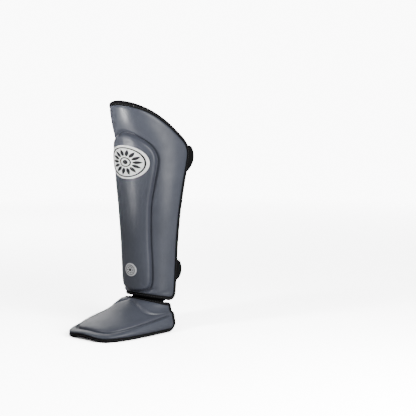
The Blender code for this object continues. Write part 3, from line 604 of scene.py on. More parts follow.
class Skin:
    """The points and faces of one closed piece, gathered row by row."""

    def __init__(self):
        """Starts with no points and no faces."""
        self.count = 0
        self.points = []
        self.faces = []

    def row(self, points):
        """Adds a row of points and gives their numbers."""
        first = self.count
        self.count += len(points)
        self.points.append(points)
        return np.arange(first, self.count)

    def strip(self, one, other, closed=True):
        """Joins two rows of the same length with a band of faces."""
        ends = len(one) if closed else len(one) - 1
        for k in range(ends):
            n = (k + 1) % len(one)
            self.faces.append((one[k], one[n], other[n], other[k]))

    def bands(self, rows, closed=True):
        """Joins each row to the next."""
        for one, other in zip(rows, rows[1:]):
            self.strip(one, other, closed)

    def fill(self, border, inner, across, rows):
        """Fills a closed border with a grid whose inner points are given row by row."""
        numbers = np.empty((rows + 1, across + 1), int)
        numbers[0] = border[: across + 1]
        numbers[:, -1] = border[across : across + rows + 1]
        numbers[-1] = border[across + rows : 2 * across + rows + 1][::-1]
        numbers[:, 0] = np.concatenate([border[2 * across + rows :], border[:1]])[::-1]
        numbers[1:-1, 1:-1] = inner.reshape(rows - 1, across - 1)
        self.bands(list(numbers), closed=False)

    def cap(self, ring):
        """Closes an end with one face."""
        self.faces.append(tuple(ring))


def foot_curve(row):
    """The dense curve of one row of the foot pad, from its left rear end round the toe to its right one."""
    rear = FOOT_REAR * row.rear
    front = FOOT_TOE * row.front
    across, forward = u_section(FOOT_HALF_WIDTH * row.half_width, rear, front, row.squareness)
    rear_height = FOOT_HEIGHT * row.rear_height
    front_height = FOOT_HEIGHT * row.front_height
    height = rear_height + (front_height - rear_height) * (forward - rear) / (front - rear)
    return whole_row(across, forward, height + row.arch * toe_arch(across, forward))


def toe_arch(across, forward):
    """How far the middle of the toe stands above its corners."""
    centred = np.clip(1.0 - (across / (TOE_ARCH_SHARE * FOOT_HALF_WIDTH)) ** 2, 0.0, 1.0)
    return TOE_ARCH * centred ** TOE_ARCH_POWER * (forward > FOOT_TOE / 2)


def whole_row(across, forward, height):
    """A row from its left end to its right end, from its right half."""
    half = np.stack([across, -forward, height], axis=1)
    return np.concatenate([mirrored(half), half[1:]])


def collar_curve():
    """The foot pad's top edge, which follows the shin pad's bottom edge just below it."""
    across, forward, _ = shin_section(SHIN_BOTTOM)
    kept = forward > COLLAR_END
    across, forward = across[kept], forward[kept]
    steps = np.hypot(np.diff(across), np.diff(forward))
    way = np.concatenate([[0.0], np.cumsum(steps)]) / shin_reach(SHIN_BOTTOM)
    tucked = forward - COLLAR_TUCK * np.clip(forward / forward[0], 0.0, 1.0) ** 2
    return whole_row(across, tucked, bottom_edge_height(way) - COLLAR_GAP)


def sole_curve(height):
    """A level curve of the foot pad's upright edge, arched at the toe."""
    rear = FOOT_REAR + SOLE_REAR_ROUND * (1.0 - height / (FOOT_HEIGHT * FOOT_ROWS[0].rear_height))
    across, forward = u_section(FOOT_HALF_WIDTH, rear, FOOT_TOE, SOLE_SQUARENESS)
    return whole_row(across, forward, height + toe_arch(across, forward))


def taped_stations(curve, cells):
    """Stations along a foot row: its two ends, the tape's width in from them, and even cells between."""
    tape = TAPE_WIDTH / np.linalg.norm(np.diff(curve, axis=0), axis=1).sum()
    return along(curve, np.concatenate([[0.0], np.linspace(tape, 1 - tape, cells + 1), [1.0]]))


def foot_grid(rows, cells, collar_shares=()):
    """The foot pad's smooth skin as rows of stations, sole first and collar last."""
    sole = [taped_stations(sole_curve(height), cells) for height in (0.0, TAPE_WIDTH)]
    upper = [taped_stations(foot_curve(row), cells) for row in rows]
    collar = taped_stations(collar_curve(), cells)
    below = collar + unit(upper[-1] - collar) * TAPE_WIDTH
    between = [upper[-1] + (below - upper[-1]) * share for share in collar_shares]
    return np.array(sole + upper + between + [below, collar])


def grid_normals(grid):
    """Outward unit normals of a grid of points whose rows run left to right, lowest row first."""
    return unit(np.cross(np.gradient(grid, axis=1), np.gradient(grid, axis=0)))


def border_stations(rows, columns):
    """Rows and columns round a grid's second ring, anticlockwise, and those of the rim beside them."""
    low, high, left, right = 1, rows - 2, 1, columns - 2
    row = [low] * (right - left) + list(range(low, high))
    row = np.array(row + [high] * (right - left) + list(range(high, low, -1)))
    col = list(range(left, right)) + [right] * (high - low)
    col = np.array(col + list(range(right, left, -1)) + [left] * (high - low))
    rim_row = np.where(row == low, 0, np.where(row == high, rows - 1, row))
    rim_col = np.where(col == left, 0, np.where(col == right, columns - 1, col))
    return row, col, rim_row, rim_col


def eased(normals):
    """A closed loop of unit normals, each turned towards its neighbours so that the tape bends gently."""
    for _ in range(NORMAL_EASING):
        normals = unit(2 * normals + np.roll(normals, 1, axis=0) + np.roll(normals, -1, axis=0))
    return normals


def level_along_sole(normals, rim_row):
    """Turns the normals along the sole level, so that the tape's underside is flat."""
    level = normals.copy()
    level[rim_row == 0, 2] = 0.0
    return unit(level)


def plan_offsets(path):
    """Level unit vectors square to a path, pointing away from the leg."""
    tangent = np.gradient(path, axis=0)
    return unit(np.stack([tangent[:, 1], -tangent[:, 0], np.zeros(len(path))], axis=1))


def sole_strap_path(forward):
    """The sole strap's centre line at one distance forward: down one wall, under the foot and up again."""
    height = np.linspace(SOLE_STRAP_HOLD, SOLE_STRAP_TURN * SOLE_STRAP_HOLD, SOLE_WALL_CELLS + 1)
    known_height = []
    known_across = []
    for row in FOOT_ROWS[:3]:
        curve = foot_curve(row)[SECTION_SAMPLES - 1 :]
        known_across.append(np.interp(-forward, curve[:, 1], curve[:, 0]))
        known_height.append(np.interp(-forward, curve[:, 1], curve[:, 2]))
    slope = np.gradient(known_across, known_height)
    thickness = FOOT_THICKNESS * np.hypot(1.0, np.interp(height, known_height, slope))
    inward = thickness + SOLE_STRAP_CLEARANCE + SOLE_STRAP_THICKNESS / 2
    wall = np.interp(height, known_height, known_across) - inward
    turn = np.linspace(0.0, math.pi / 2, SOLE_TURN_CELLS + 1)
    bend = height[-1] - SOLE_STRAP_RISE
    across = np.concatenate([wall[:-1], wall[-1] - bend * (1 - np.cos(turn)), [wall[-1] / 2, 0.0]])
    level = np.concatenate([height[:-1], height[-1] - bend * np.sin(turn), [SOLE_STRAP_RISE] * 2])
    half = np.stack([across, np.full(len(across), -forward), level], axis=1)
    return np.concatenate([half, mirrored(half)[1:]])


def ankle_strip_paths():
    """The middle lines of the ankle strip, from inside the foot pad up to inside the shin pad."""
    behind = WING_THICKNESS + GAP + ANKLE_STRIP_THICKNESS
    shares = np.linspace(-ANKLE_STRIP_SPAN, ANKLE_STRIP_SPAN, ANKLE_STRIP_CELLS + 1)
    bottom = bottom_edge_height(shares)
    paths = []
    for rise in ANKLE_STRIP_RISES:
        height = bottom + rise * ANKLE_STRIP_REACH
        paths.append(shin_surface(np.stack([shares * shin_reach(height), height], axis=1), -behind))
    grid = foot_grid(FOOT_ROWS, FOOT_CELLS_ACROSS)
    normals = grid_normals(grid)
    below = FOOT_THICKNESS + GAP + ANKLE_STRIP_THICKNESS / 2
    past_rim = grid[-1] + unit(grid[-1] - grid[-2]) * (GAP + ANKLE_STRIP_THICKNESS)
    for whole, normal in ((past_rim, normals[-1]), (grid[-2], normals[-2]), (grid[-3], normals[-3])):
        paths.append(along(whole - normal * below, 0.5 + 0.5 * shares))
    return np.array(paths[::-1])


def edge_points(edge, distance, level):
    """Points of an edge's section: a distance in from the rim and a level from the middle of the edge."""
    rim, inner, normals = edge
    return rim + (inner - rim) * (distance / TAPE_WIDTH) + normals * (level - EDGE_LEVEL)


def mesh_object(name, skin, materials):
    """An object from a skin in the part's own coordinates, smooth shaded."""
    mesh = bpy.data.meshes.new(name)
    points = np.concatenate(skin.points) + SHIFT
    mesh.from_pydata([tuple(p) for p in points], [], [tuple(int(k) for k in face) for face in skin.faces])
    work = bmesh.new()
    work.from_mesh(mesh)
    bmesh.ops.recalc_face_normals(work, faces=work.faces[:])
    work.to_mesh(mesh)
    work.free()
    for material in materials:
        mesh.materials.append(material)
    mesh.shade_smooth()
    obj = bpy.data.objects.new(name, mesh)
    bpy.context.scene.collection.objects.link(obj)
    return obj


def dressed(obj, slot, node=None, smooth=True):
    """Smooths a piece, lets it ride on the part and hides the CAD node that it stands for. Its finish is not
    used.
    """
    if smooth:
        modifier = obj.modifiers.new("Smooth", "SUBSURF")
        modifier.levels = 1
        modifier.render_levels = 1
    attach(obj, "root")
    if node is not None:
        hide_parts(node)
    return obj


def vertex_places(mesh):
    """The places of a mesh's vertices, one row each."""
    places = np.empty(len(mesh.vertices) * 3)
    mesh.vertices.foreach_get("co", places)
    return places.reshape(-1, 3)


def puff(obj, held, cap):
    """Inflates a pad with Blender's cloth, limits each point's move and keeps the result in the mesh."""
    scene = bpy.context.scene
    before = vertex_places(obj.data)
    group = obj.vertex_groups.new(name="held")
    for level in np.unique(held):
        group.add(np.nonzero(held == level)[0].tolist(), float(level), "REPLACE")
    cloth = obj.modifiers.new("Cloth", "CLOTH")
    for name, value in CLOTH_SETTINGS.items():
        setattr(cloth.settings, name, value)
    cloth.settings.vertex_group_mass = "held"
    cloth.settings.effector_weights.gravity = 0.0
    cloth.collision_settings.use_collision = False
    cloth.collision_settings.use_self_collision = False
    cloth.point_cache.frame_start = 1
    cloth.point_cache.frame_end = PUFF_FRAMES
    for number in range(1, PUFF_FRAMES + 1):
        scene.frame_set(number)
    shaped = obj.evaluated_get(bpy.context.evaluated_depsgraph_get())
    move = vertex_places(shaped.to_mesh()) - before
    shaped.to_mesh_clear()
    obj.modifiers.remove(cloth)
    scene.frame_set(1)
    size = np.maximum(np.linalg.norm(move, axis=1), SMALLEST_MOVE)
    final = before + move * np.minimum(1.0, cap / size)[:, None]
    obj.data.vertices.foreach_set("co", final.ravel())
    obj.data.update()


class Pad(Skin):
    """The skin of a pad, with how firmly each point is held while the pad is puffed, 1 where it is fixed."""

    def __init__(self):
        """Starts with nothing held."""
        super().__init__()
        self.held = []

    def add(self, points, hold):
        """Adds a row of points with one hold for all of them or one for each, and gives their numbers."""
        self.held.append(np.broadcast_to(np.asarray(hold, float), len(points)))
        return self.row(points)

    def edge(self, edge, rows, side=1):
        """Adds the rows of the pad's edge under its tape; side is 1 on the outside and -1 on the inside."""
        return [self.add(edge_points(edge, row.distance, side * row.level), 1.0) for row in rows]

    def made(self, name, node, materials, leather_faces, cap):
        """The pad's object, with the first material on its first faces and the second one on the others."""
        obj = mesh_object(name, self, materials)
        lined = np.arange(len(self.faces)) >= leather_faces
        obj.data.polygons.foreach_set("material_index", lined.astype(np.int32))
        puff(obj, np.concatenate(self.held), cap)
        return dressed(obj, "grey_leather", node)


def fine_shin_loops():
    """The shin pad's rim, the inner edge of its tape and its panel's outline, in the flat pattern."""
    counts = (FINE_ACROSS, FINE_ALONG) * 2
    rim = loop_of(shin_outline_sides(), counts)
    return rim, inset(rim, TAPE_WIDTH), loop_of(panel_outline_sides(), counts)


def shin_edge():
    """The shin pad's rim, the inner edge of its tape, and the normals at the rim."""
    rim, taped, _ = fine_shin_loops()
    return shin_surface(rim, 0.0), shin_surface(taped, 0.0), shin_normals(rim)


def dents(flat):
    """Small sags and creases that the leather of the shin pad shows, in metres below the skin."""
    depth = np.zeros(len(flat))
    for crease in SHIN_CREASES:
        start = np.array([crease.from_across, crease.from_height])
        span = np.array([crease.to_across, crease.to_height]) - start
        for side in (1.0, -1.0):
            point = flat * np.array([side, 1.0])
            t = np.clip(((point - start) @ span) / (span @ span), 0.0, 1.0)
            away = np.linalg.norm(point - (start + t[:, None] * span), axis=1)
            fade = np.sin(math.pi * (0.12 + 0.76 * t))
            depth += crease.depth * fade * np.exp(-((away / crease.width) ** 2))
    return depth


def shin_pad_outside(pad, edge):
    """Adds the shin pad's leather side: edge, rolled edge, wing, channel and raised panel."""
    _, taped, panel = fine_shin_loops()
    room = np.linalg.norm(panel - taped, axis=1)[:, None]
    outward = (taped - panel) / room
    channel = np.minimum(CHANNEL_WIDTH, CHANNEL_ROOM * room)
    roll = np.minimum(ROLL_SPREAD * ROLL_WIDTH, ROLL_ROOM * room) - ROLL_START

    def add(flat, level, hold):
        """Adds a ring of the flat pattern, lowered by its sags and creases."""
        return pad.add(shin_surface(flat, level - dents(flat)), hold)

    rings = pad.edge(edge, SHIN_OUTER_EDGE)
    roll_out = taped - outward * ROLL_START
    for step in ROLL_STEPS:
        level = (TAPE_OUTSIDE - EDGE_LEVEL) * (1 - step.rise)
        rings.append(add(roll_out - outward * roll * step.share, level, 0.9 - 0.6 * step.share))
    roll_in = roll_out - outward * roll
    channel_out = panel + outward * channel * CHANNEL_RINGS[0].share
    for share in np.linspace(0.0, 1.0, WING_RINGS + 2)[1:-1]:
        level = WING_CROWN * math.sin(math.pi * share)
        rings.append(add(roll_in + (channel_out - roll_in) * share, level, WING_HOLD))
    for ring in CHANNEL_RINGS:
        if ring.share < 0:
            flat = inset(panel, -ring.share * CHANNEL_WIDTH)
        else:
            flat = panel + outward * channel * ring.share
        rings.append(add(flat, ring.rise * PANEL_RISE - ring.depth * CHANNEL_DEPTH, ring.hold))
    pad.bands(rings)
    inside = patch_inside(flat, FINE_ACROSS, FINE_ALONG)[1:-1, 1:-1].reshape(-1, 2)
    pad.fill(rings[-1], add(inside, PANEL_MIDDLE * PANEL_RISE, PANEL_HOLD), FINE_ACROSS, FINE_ALONG)
    return rings[0]


def shin_pad_inside(pad, edge):
    """Adds the shin pad's lined side."""
    _, taped, panel = fine_shin_loops()
    room = np.linalg.norm(panel - taped, axis=1)[:, None]
    outward = (taped - panel) / room
    roll = np.minimum(INNER_ROLL_SPREAD * ROLL_WIDTH, INNER_ROLL_ROOM * room)
    rings = pad.edge(edge, SHIN_INNER_EDGE, side=-1)
    shallow = EDGE_LEVEL + TAPE_OUTSIDE
    for share in INNER_ROLL_SHARES:
        flat = taped - outward * (ROLL_START + (roll - ROLL_START) * share)
        level = -shallow - (WING_THICKNESS - shallow) * math.sin(share * math.pi / 2)
        rings.append(pad.add(shin_surface(flat, level), 1.0))
    for share in np.linspace(0.0, 1.0, INNER_RINGS + 1)[1:]:
        flat = taped - outward * (roll + (room - roll) * share)
        rings.append(pad.add(shin_surface(flat, -WING_THICKNESS), 1.0))
    pad.bands(rings)
    inside = patch_inside(panel, FINE_ACROSS, FINE_ALONG)[1:-1, 1:-1].reshape(-1, 2)
    filled = pad.add(shin_surface(inside, -WING_THICKNESS), 1.0)
    pad.fill(rings[-1], filled, FINE_ACROSS, FINE_ALONG)
    return rings[0]


def shin_pad_piece(edge, materials):
    """The shin pad: leather over foam with its raised panel, channel and rolled edge."""
    pad = Pad()
    outer = shin_pad_outside(pad, edge)
    leather_faces = len(pad.faces)
    pad.strip(outer, shin_pad_inside(pad, edge))
    obj = pad.made("shin_pad_padded", "shin_pad", materials, leather_faces, SHIN_PUFF)


def fine_foot_grid():
    """The foot pad's smooth skin at high density, with each row's number, lift, thickness and lean."""
    known = np.arange(len(FOOT_ROWS))
    last = known[-1]
    fine = np.linspace(0, last, last * FOOT_SUBROWS + 1)
    values = [smooth_through(known, column(FOOT_ROWS, name), fine) for name in FOOT_COLUMNS.split()]
    rows = table(FOOT_COLUMNS, *zip(*values))
    above = [last + share for share in COLLAR_SHARES + (1.0, 2.0)]
    numbers = np.concatenate([[-2.0, -1.0], fine, above])
    ends = (2, len(above))
    lift = np.pad(column(rows, "lift") * FOOT_GROOVE_DEPTH, ends)
    thickness = np.pad(column(rows, "thickness"), ends, constant_values=1.0)
    lean = np.pad(column(rows, "lean"), ends, constant_values=(1.0, 0.0))
    return foot_grid(rows, FOOT_FINE_ACROSS, COLLAR_SHARES), numbers, lift, thickness, lean


def foot_edge():
    """The foot pad's rim, the inner edge of its tape, and the normals at the rim."""
    grid = fine_foot_grid()[0]
    row, col, rim_row, rim_col = border_stations(*grid.shape[:2])
    normals = level_along_sole(eased(grid_normals(grid)[rim_row, rim_col]), rim_row)
    return grid[rim_row, rim_col], grid[row, col], normals


def instep_fold(numbers, columns):
    """Depth of the fold that runs from the front of the ankle down to the rear of each side."""
    fold = INSTEP_FOLD
    u = np.abs(np.linspace(-1.0, 1.0, columns))[None, :]
    way = np.clip((u - fold.inner) / (fold.outer - fold.inner), 0.0, 1.0)
    middle = fold.inner_row + (fold.outer_row - fold.inner_row) * way
    fade_in = np.clip((u - fold.inner + 0.14) / 0.16, 0.0, 1.0)
    fade_out = np.clip((fold.outer + 0.05 - u) / 0.08, 0.0, 1.0)
    away = (numbers[:, None] - middle) / (fold.width * (1.0 - 0.45 * way))
    bulge = 0.35 * np.exp(-(((away - 1.5) / 1.3) ** 2))
    return fold.depth * fade_in * fade_out * (np.exp(-(away ** 2)) - bulge)


def foot_pad_piece(edge, materials):
    """The foot pad: leather over foam with its raised instep, groove and ankle fold."""
    grid, numbers, lift, thickness, lean = fine_foot_grid()
    normals = grid_normals(grid)
    count = grid.shape[1]
    cells = (count - 3, len(grid) - 3)
    core = (slice(2, -2), slice(2, -2))
    from_ends = np.minimum(np.arange(count), np.arange(count)[::-1])
    level = (lift[:, None] - instep_fold(numbers, count)) * np.minimum(1.0, from_ends / FOOT_SIDE_FADE)
    lifted = grid[core] + normals[core] * level[core][..., None]
    hold = 0.08 + 0.9 * (np.abs(numbers - GROOVE_ROW) < 0.5) + 0.5 * (numbers > COLLAR_ROW)
    hold = np.repeat(np.clip(hold, 0.0, 1.0)[2:-2], lifted.shape[1])
    upright = normals[:1, 2:-2] * np.array([1.0, 1.0, 0.0])
    turn = lean[2:-2, None, None]
    inward = unit((1 - turn) * normals[core] + turn * upright)
    lowered = grid[core] - inward * (FOOT_THICKNESS * thickness[2:-2, None, None])

    pad = Pad()
    outer = pad.edge(edge, FOOT_EDGE)
    back = pad.edge(edge, FOOT_EDGE, side=-1)
    pad.bands(outer)
    pad.fill(outer[-1], pad.add(lifted.reshape(-1, 3), hold), *cells)
    leather_faces = len(pad.faces)
    pad.bands(back)
    pad.fill(back[-1], pad.add(lowered.reshape(-1, 3), 1.0), *cells)
    pad.strip(outer[0], back[0])
    obj = pad.made("foot_pad_padded", "foot_pad", materials, leather_faces, FOOT_PUFF)


def edge_tape(name, edge, node, material):
    """An edge tape with rounded folds, as a closed ring."""
    near = TAPE_WIDTH - TAPE_LIP
    inside = TAPE_OUTSIDE - 0.8 * TAPE_THICKNESS
    top = [
        (TAPE_WIDTH, TAPE_OUTSIDE - 0.0003),
        (near, TAPE_OUTSIDE),
        (0.66 * TAPE_WIDTH, TAPE_OUTSIDE + 0.0001),
    ]
    turns = np.linspace(math.pi / 2, -math.pi / 2, TAPE_FOLD_POINTS)
    fold = [(TAPE_FOLD * (1 - math.cos(turn)), TAPE_OUTSIDE * math.sin(turn)) for turn in turns]
    low = [(distance, -level) for distance, level in reversed(top)]
    hollow = [(near, -inside), (TAPE_THICKNESS, -inside), (TAPE_THICKNESS, inside), (near, inside)]
    skin = Skin()
    rows = [skin.row(edge_points(edge, *point)) for point in top + fold + low + hollow]
    skin.bands(rows + rows[:1])
    dressed(mesh_object(name, skin, [material]), "black_tape", node)


def evenly(line, values):
    """Places spaced a stitch apart along a line, and the values read there."""
    lengths = np.concatenate([[0.0], np.cumsum(np.linalg.norm(np.diff(line, axis=0), axis=1))])
    count = int(lengths[-1] / STITCH_STEP)
    wanted = (np.arange(count) + 0.5) * lengths[-1] / count
    read = []
    for value in (line, *values):
        read.append(np.stack([np.interp(wanted, lengths, value[:, axis]) for axis in range(3)], axis=1))
    return read


def stitches(name, places, directions, ups, radius, material, slot):
    """A row of thread stitches, each a small rounded stick lying along the seam."""
    skin = Skin()
    section = circle(STITCH_SIDES)
    for place, ahead, up in zip(places, unit(directions), ups):
        up = unit(up - ahead * (up @ ahead))
        round_thread = section @ np.array([np.cross(ahead, up), up])
        rings = []
        for shift, size in STITCH_RINGS:
            sink = -STITCH_SINK * radius * (2 * abs(shift)) ** 3
            middle = place + ahead * shift * STITCH_LENGTH + up * sink
            rings.append(skin.row(middle + round_thread * (radius * size)))
        skin.bands(rings)
        skin.cap(rings[0])
        skin.cap(rings[-1])
    dressed(mesh_object(name, skin, [material]), slot, smooth=False)


def tape_stitches(name, edge, material):
    """The thread that holds an edge tape, on its outer face and on its inner face."""
    rim, inner, normals = [np.concatenate([loop, loop[:1]]) for loop in edge]
    place, inward, up = evenly(rim, (inner - rim, normals))
    ahead = np.roll(place, -1, axis=0) - np.roll(place, 1, axis=0)
    seam = place + inward * (STITCH_IN / TAPE_WIDTH) - up * EDGE_LEVEL
    raised = up * (TAPE_OUTSIDE + STITCH_RAISE)
    places = np.concatenate([seam + raised, seam - raised])
    directions, ups = np.concatenate([ahead, ahead]), np.concatenate([up, -up])
    stitches(name, places, directions, ups, TAPE_THREAD, material, "black_tape")


def rounded_band(name, paths, offsets, thickness, node, material):
    """A flat band of webbing with soft edges, from its centre lines edge to edge."""
    skin = Skin()
    front, back = [], []
    last = len(paths) - 1
    for k, (path, offset) in enumerate(zip(paths, offsets)):
        half = thickness / 2 * (BAND_EDGE if k in (0, last) else 1.0)
        front.append(skin.row(path + offset * half))
        back.append(skin.row(path - offset * half))
    ring = front + back[::-1]
    skin.bands(ring + ring[:1], closed=False)
    for end in (0, -1):
        for k in range(last):
            skin.faces.append((front[k][end], front[k + 1][end], back[k + 1][end], back[k][end]))
    dressed(mesh_object(name, skin, [material]), "black_webbing", node)


def fine_strap_path(height, bow):
    """The centre line of a calf strap with more points."""
    level = -(WING_THICKNESS + GAP + STRAP_THICKNESS / 2)
    held = float(shin_reach(height)) - STRAP_HOLD * np.linspace(1.0, 0.0, FINE_HELD + 1)
    run = shin_surface(np.stack([held, np.full(len(held), height)], axis=1), level)
    run[:, 2] = height
    end = run[-1]
    turn = np.linspace(0.0, math.pi / 2, FINE_STRAP_TURN + 1)[1:]
    power = 2.0 / STRAP_SQUARENESS
    x = end[0] * np.abs(np.cos(turn)) ** power
    y = end[1] + bow * np.sin(turn) ** power
    x[-1] = 0.0
    half = np.concatenate([run, np.stack([x, y, np.full(len(x), height)], axis=1)])
    return np.concatenate([half, mirrored(half)[1:]])


def fine_strap_lines(strap, margin, beyond):
    """Lines along a calf strap, edge to edge inside a margin, crowned between the wings and moved out."""
    paths = []
    for share in np.linspace(-0.5, 0.5, FINE_STRAP_LINES):
        across = share * (strap.width - 2 * margin)
        path = fine_strap_path(strap.height + across, strap.bow)
        free = np.clip((path[:, 1] - path[FINE_HELD, 1]) / strap.bow, 0.0, 1.0)[:, None]
        crown = STRAP_CROWN * (1 - (2 * across / strap.width) ** 2) * np.minimum(1.0, STRAP_CROWN_EASE * free)
        paths.append(path + plan_offsets(path) * (crown + beyond))
    return paths


def strap_piece(strap, material):
    """A calf strap, crowned between the wings."""
    paths = fine_strap_lines(strap, 0.0, 0.0)
    offsets = [plan_offsets(path) for path in paths]
    rounded_band(strap.name + "_webbing", paths, offsets, STRAP_THICKNESS, strap.name, material)


def tab_piece(strap, hook, thread):
    """The hook-and-loop end on the outside of a calf strap, stitched round its edge."""
    name = strap.name + "_tab"
    beyond = STRAP_THICKNESS / 2 + TAB_CLEARANCE + TAB_THICKNESS / 2
    paths = []
    for line in fine_strap_lines(strap, TAB_MARGIN, beyond):
        reach = TAB_REACH / np.linalg.norm(np.diff(line, axis=0), axis=1).sum()
        paths.append(along(line, np.linspace(0.5 - reach, 0.5 + reach, FINE_TAB_CELLS + 1)))
    up = np.array([plan_offsets(path) for path in paths])
    rounded_band(name + "_hook", paths, up, TAB_THICKNESS, name, hook)
    grid = np.array(paths) + up * (TAB_THICKNESS / 2 + STITCH_RAISE)
    seams = ((1, slice(None)), (-2, slice(None)), (slice(1, -1), 2), (slice(1, -1), -3))
    read = [evenly(grid[seam], (up[seam],)) for seam in seams]
    places, ups = (np.concatenate(part) for part in zip(*read))
    ahead = np.concatenate([np.gradient(line, axis=0) for line, _ in read])
    stitches(name + "_thread", places, ahead, ups, TAB_THREAD, thread, "black_webbing")


def sole_strap_piece(material):
    """The elastic under the foot."""
    forward = SOLE_STRAP_FORWARD + SOLE_STRAP_WIDTH * np.linspace(-0.5, 0.5, SOLE_STRAP_LINES)
    even = np.linspace(0.0, 1.0, SOLE_STRAP_POINTS)
    paths = [along(sole_strap_path(distance), even) for distance in forward]
    offsets = []
    for path in paths:
        tangent = np.gradient(path, axis=0)
        offsets.append(unit(np.stack([tangent[:, 2], np.zeros(len(path)), -tangent[:, 0]], axis=1)))
    rounded_band("sole_strap_elastic", paths, offsets, SOLE_STRAP_THICKNESS, "sole_strap", material)


def ankle_strip_piece(material):
    """The strip inside the front of the ankle, from the same lines as its solid, closer together."""
    even = np.linspace(0.0, 1.0, ANKLE_STRIP_POINTS)
    paths = np.array([along(path, even) for path in ankle_strip_paths()])
    known = np.arange(len(paths))
    fine = np.linspace(0.0, known[-1], ANKLE_STRIP_LINES)
    lines = np.empty((len(fine),) + paths.shape[1:])
    for point in range(paths.shape[1]):
        for axis in range(3):
            lines[:, point, axis] = smooth_through(known, paths[:, point, axis], fine)
    normals = grid_normals(lines)
    rounded_band("ankle_strip_elastic", lines, normals, ANKLE_STRIP_THICKNESS, "ankle_strip", material)


def badge_height(shares):
    """How high a moulded badge stands at (across, up) shares of its half sizes, rim included."""
    away = np.linalg.norm(shares, axis=-1)
    known = column(BADGE_PROFILE, "share")
    return BADGE_THICKNESS * np.interp(away, known, column(BADGE_PROFILE, "height"))


def over_panel(badge, shares, level):
    """Points at a level above a badge's underside, at (across, up) shares of its half sizes."""
    flat = np.array([0.0, badge.height]) + shares * np.array([badge.half_width, badge.half_tall])
    return shin_surface(flat, PANEL_RISE + BADGE_GAP + level)


def badge_piece(name, badge, material):
    """A moulded oval badge with a raised rim, following the panel."""
    oval = circle(BADGE_CELLS)
    skin = Skin()
    rings = []
    for share in BADGE_RINGS:
        rings.append(skin.row(over_panel(badge, oval * share, badge_height(oval * share))))
    for share in BADGE_UNDER_RINGS:
        rings.append(skin.row(over_panel(badge, oval * share, -BADGE_SINK)))
    skin.bands(rings)
    skin.cap(rings[0])
    skin.cap(rings[-1])
    dressed(mesh_object(name, skin, [material]), badge.slot, badge.node, smooth=False)


def badge_marks(name, badge, marks, material):
    """Flat moulded marks on a badge: each is a grid of (across, up) shares, whose rows may be closed."""
    skin = Skin()
    for grid, closed in marks:
        rows, columns = grid.shape[:2]
        shares = grid.reshape(-1, 2)
        level = badge_height(shares)
        top = skin.row(over_panel(badge, shares, level + MARK_RAISE)).reshape(rows, columns)
        low = skin.row(over_panel(badge, shares, level - MARK_RAISE)).reshape(rows, columns)
        skin.bands(list(top), closed)
        skin.bands(list(low[::-1]), closed)
        skin.strip(low[0], top[0], closed)
        skin.strip(top[-1], low[-1], closed)
        if not closed:
            skin.strip(top[:, 0], low[:, 0], False)
            skin.strip(low[:, -1], top[:, -1], False)
    obj = mesh_object(name, skin, [material])
    obj.data.set_sharp_from_angle(angle=math.radians(MARK_SHARP_ANGLE))
    dressed(obj, badge.slot, smooth=False)


def circle(cells, radius=1.0, centre=(0.0, 0.0)):
    """Points round a circle, anticlockwise."""
    angle = np.linspace(0.0, 2 * math.pi, cells + 1)[:-1]
    return np.array(centre) + radius * np.stack([np.cos(angle), np.sin(angle)], axis=1)


def round_mark(radii, cells, centre=(0.0, 0.0)):
    """A ring, disc or dot, as circles from outside in."""
    return np.array([circle(cells, radius, centre) for radius in radii]), True


def petal_marks(count, inner, outer, half_width):
    """Pointed petals standing round the centre of a badge."""
    t = np.linspace(0.0, 1.0, PETAL_ROWS)[:, None, None]
    half = half_width * np.maximum(np.sin(math.pi * t ** 0.8), 0.02) * np.array([-1.0, 0.0, 1.0])[:, None]
    marks = []
    for ahead in circle(count):
        aside = np.array([-ahead[1], ahead[0]])
        marks.append((ahead * (inner + (outer - inner) * t) + aside * half, False))
    return marks


def fill_sockets(tree, node, inputs):
    """Gives a node's inputs their values, or links them to the outputs of other nodes."""
    for name, value in inputs.items():
        if isinstance(value, bpy.types.NodeSocket):
            tree.links.new(value, node.inputs[name])
        else:
            node.inputs[name].default_value = value


def add_node(tree, kind, inputs, **settings):
    """Adds a shader node with its settings and its inputs."""
    node = tree.nodes.new("ShaderNode" + kind)
    for name, value in settings.items():
        setattr(node, name, value)
    fill_sockets(tree, node, inputs)
    return node


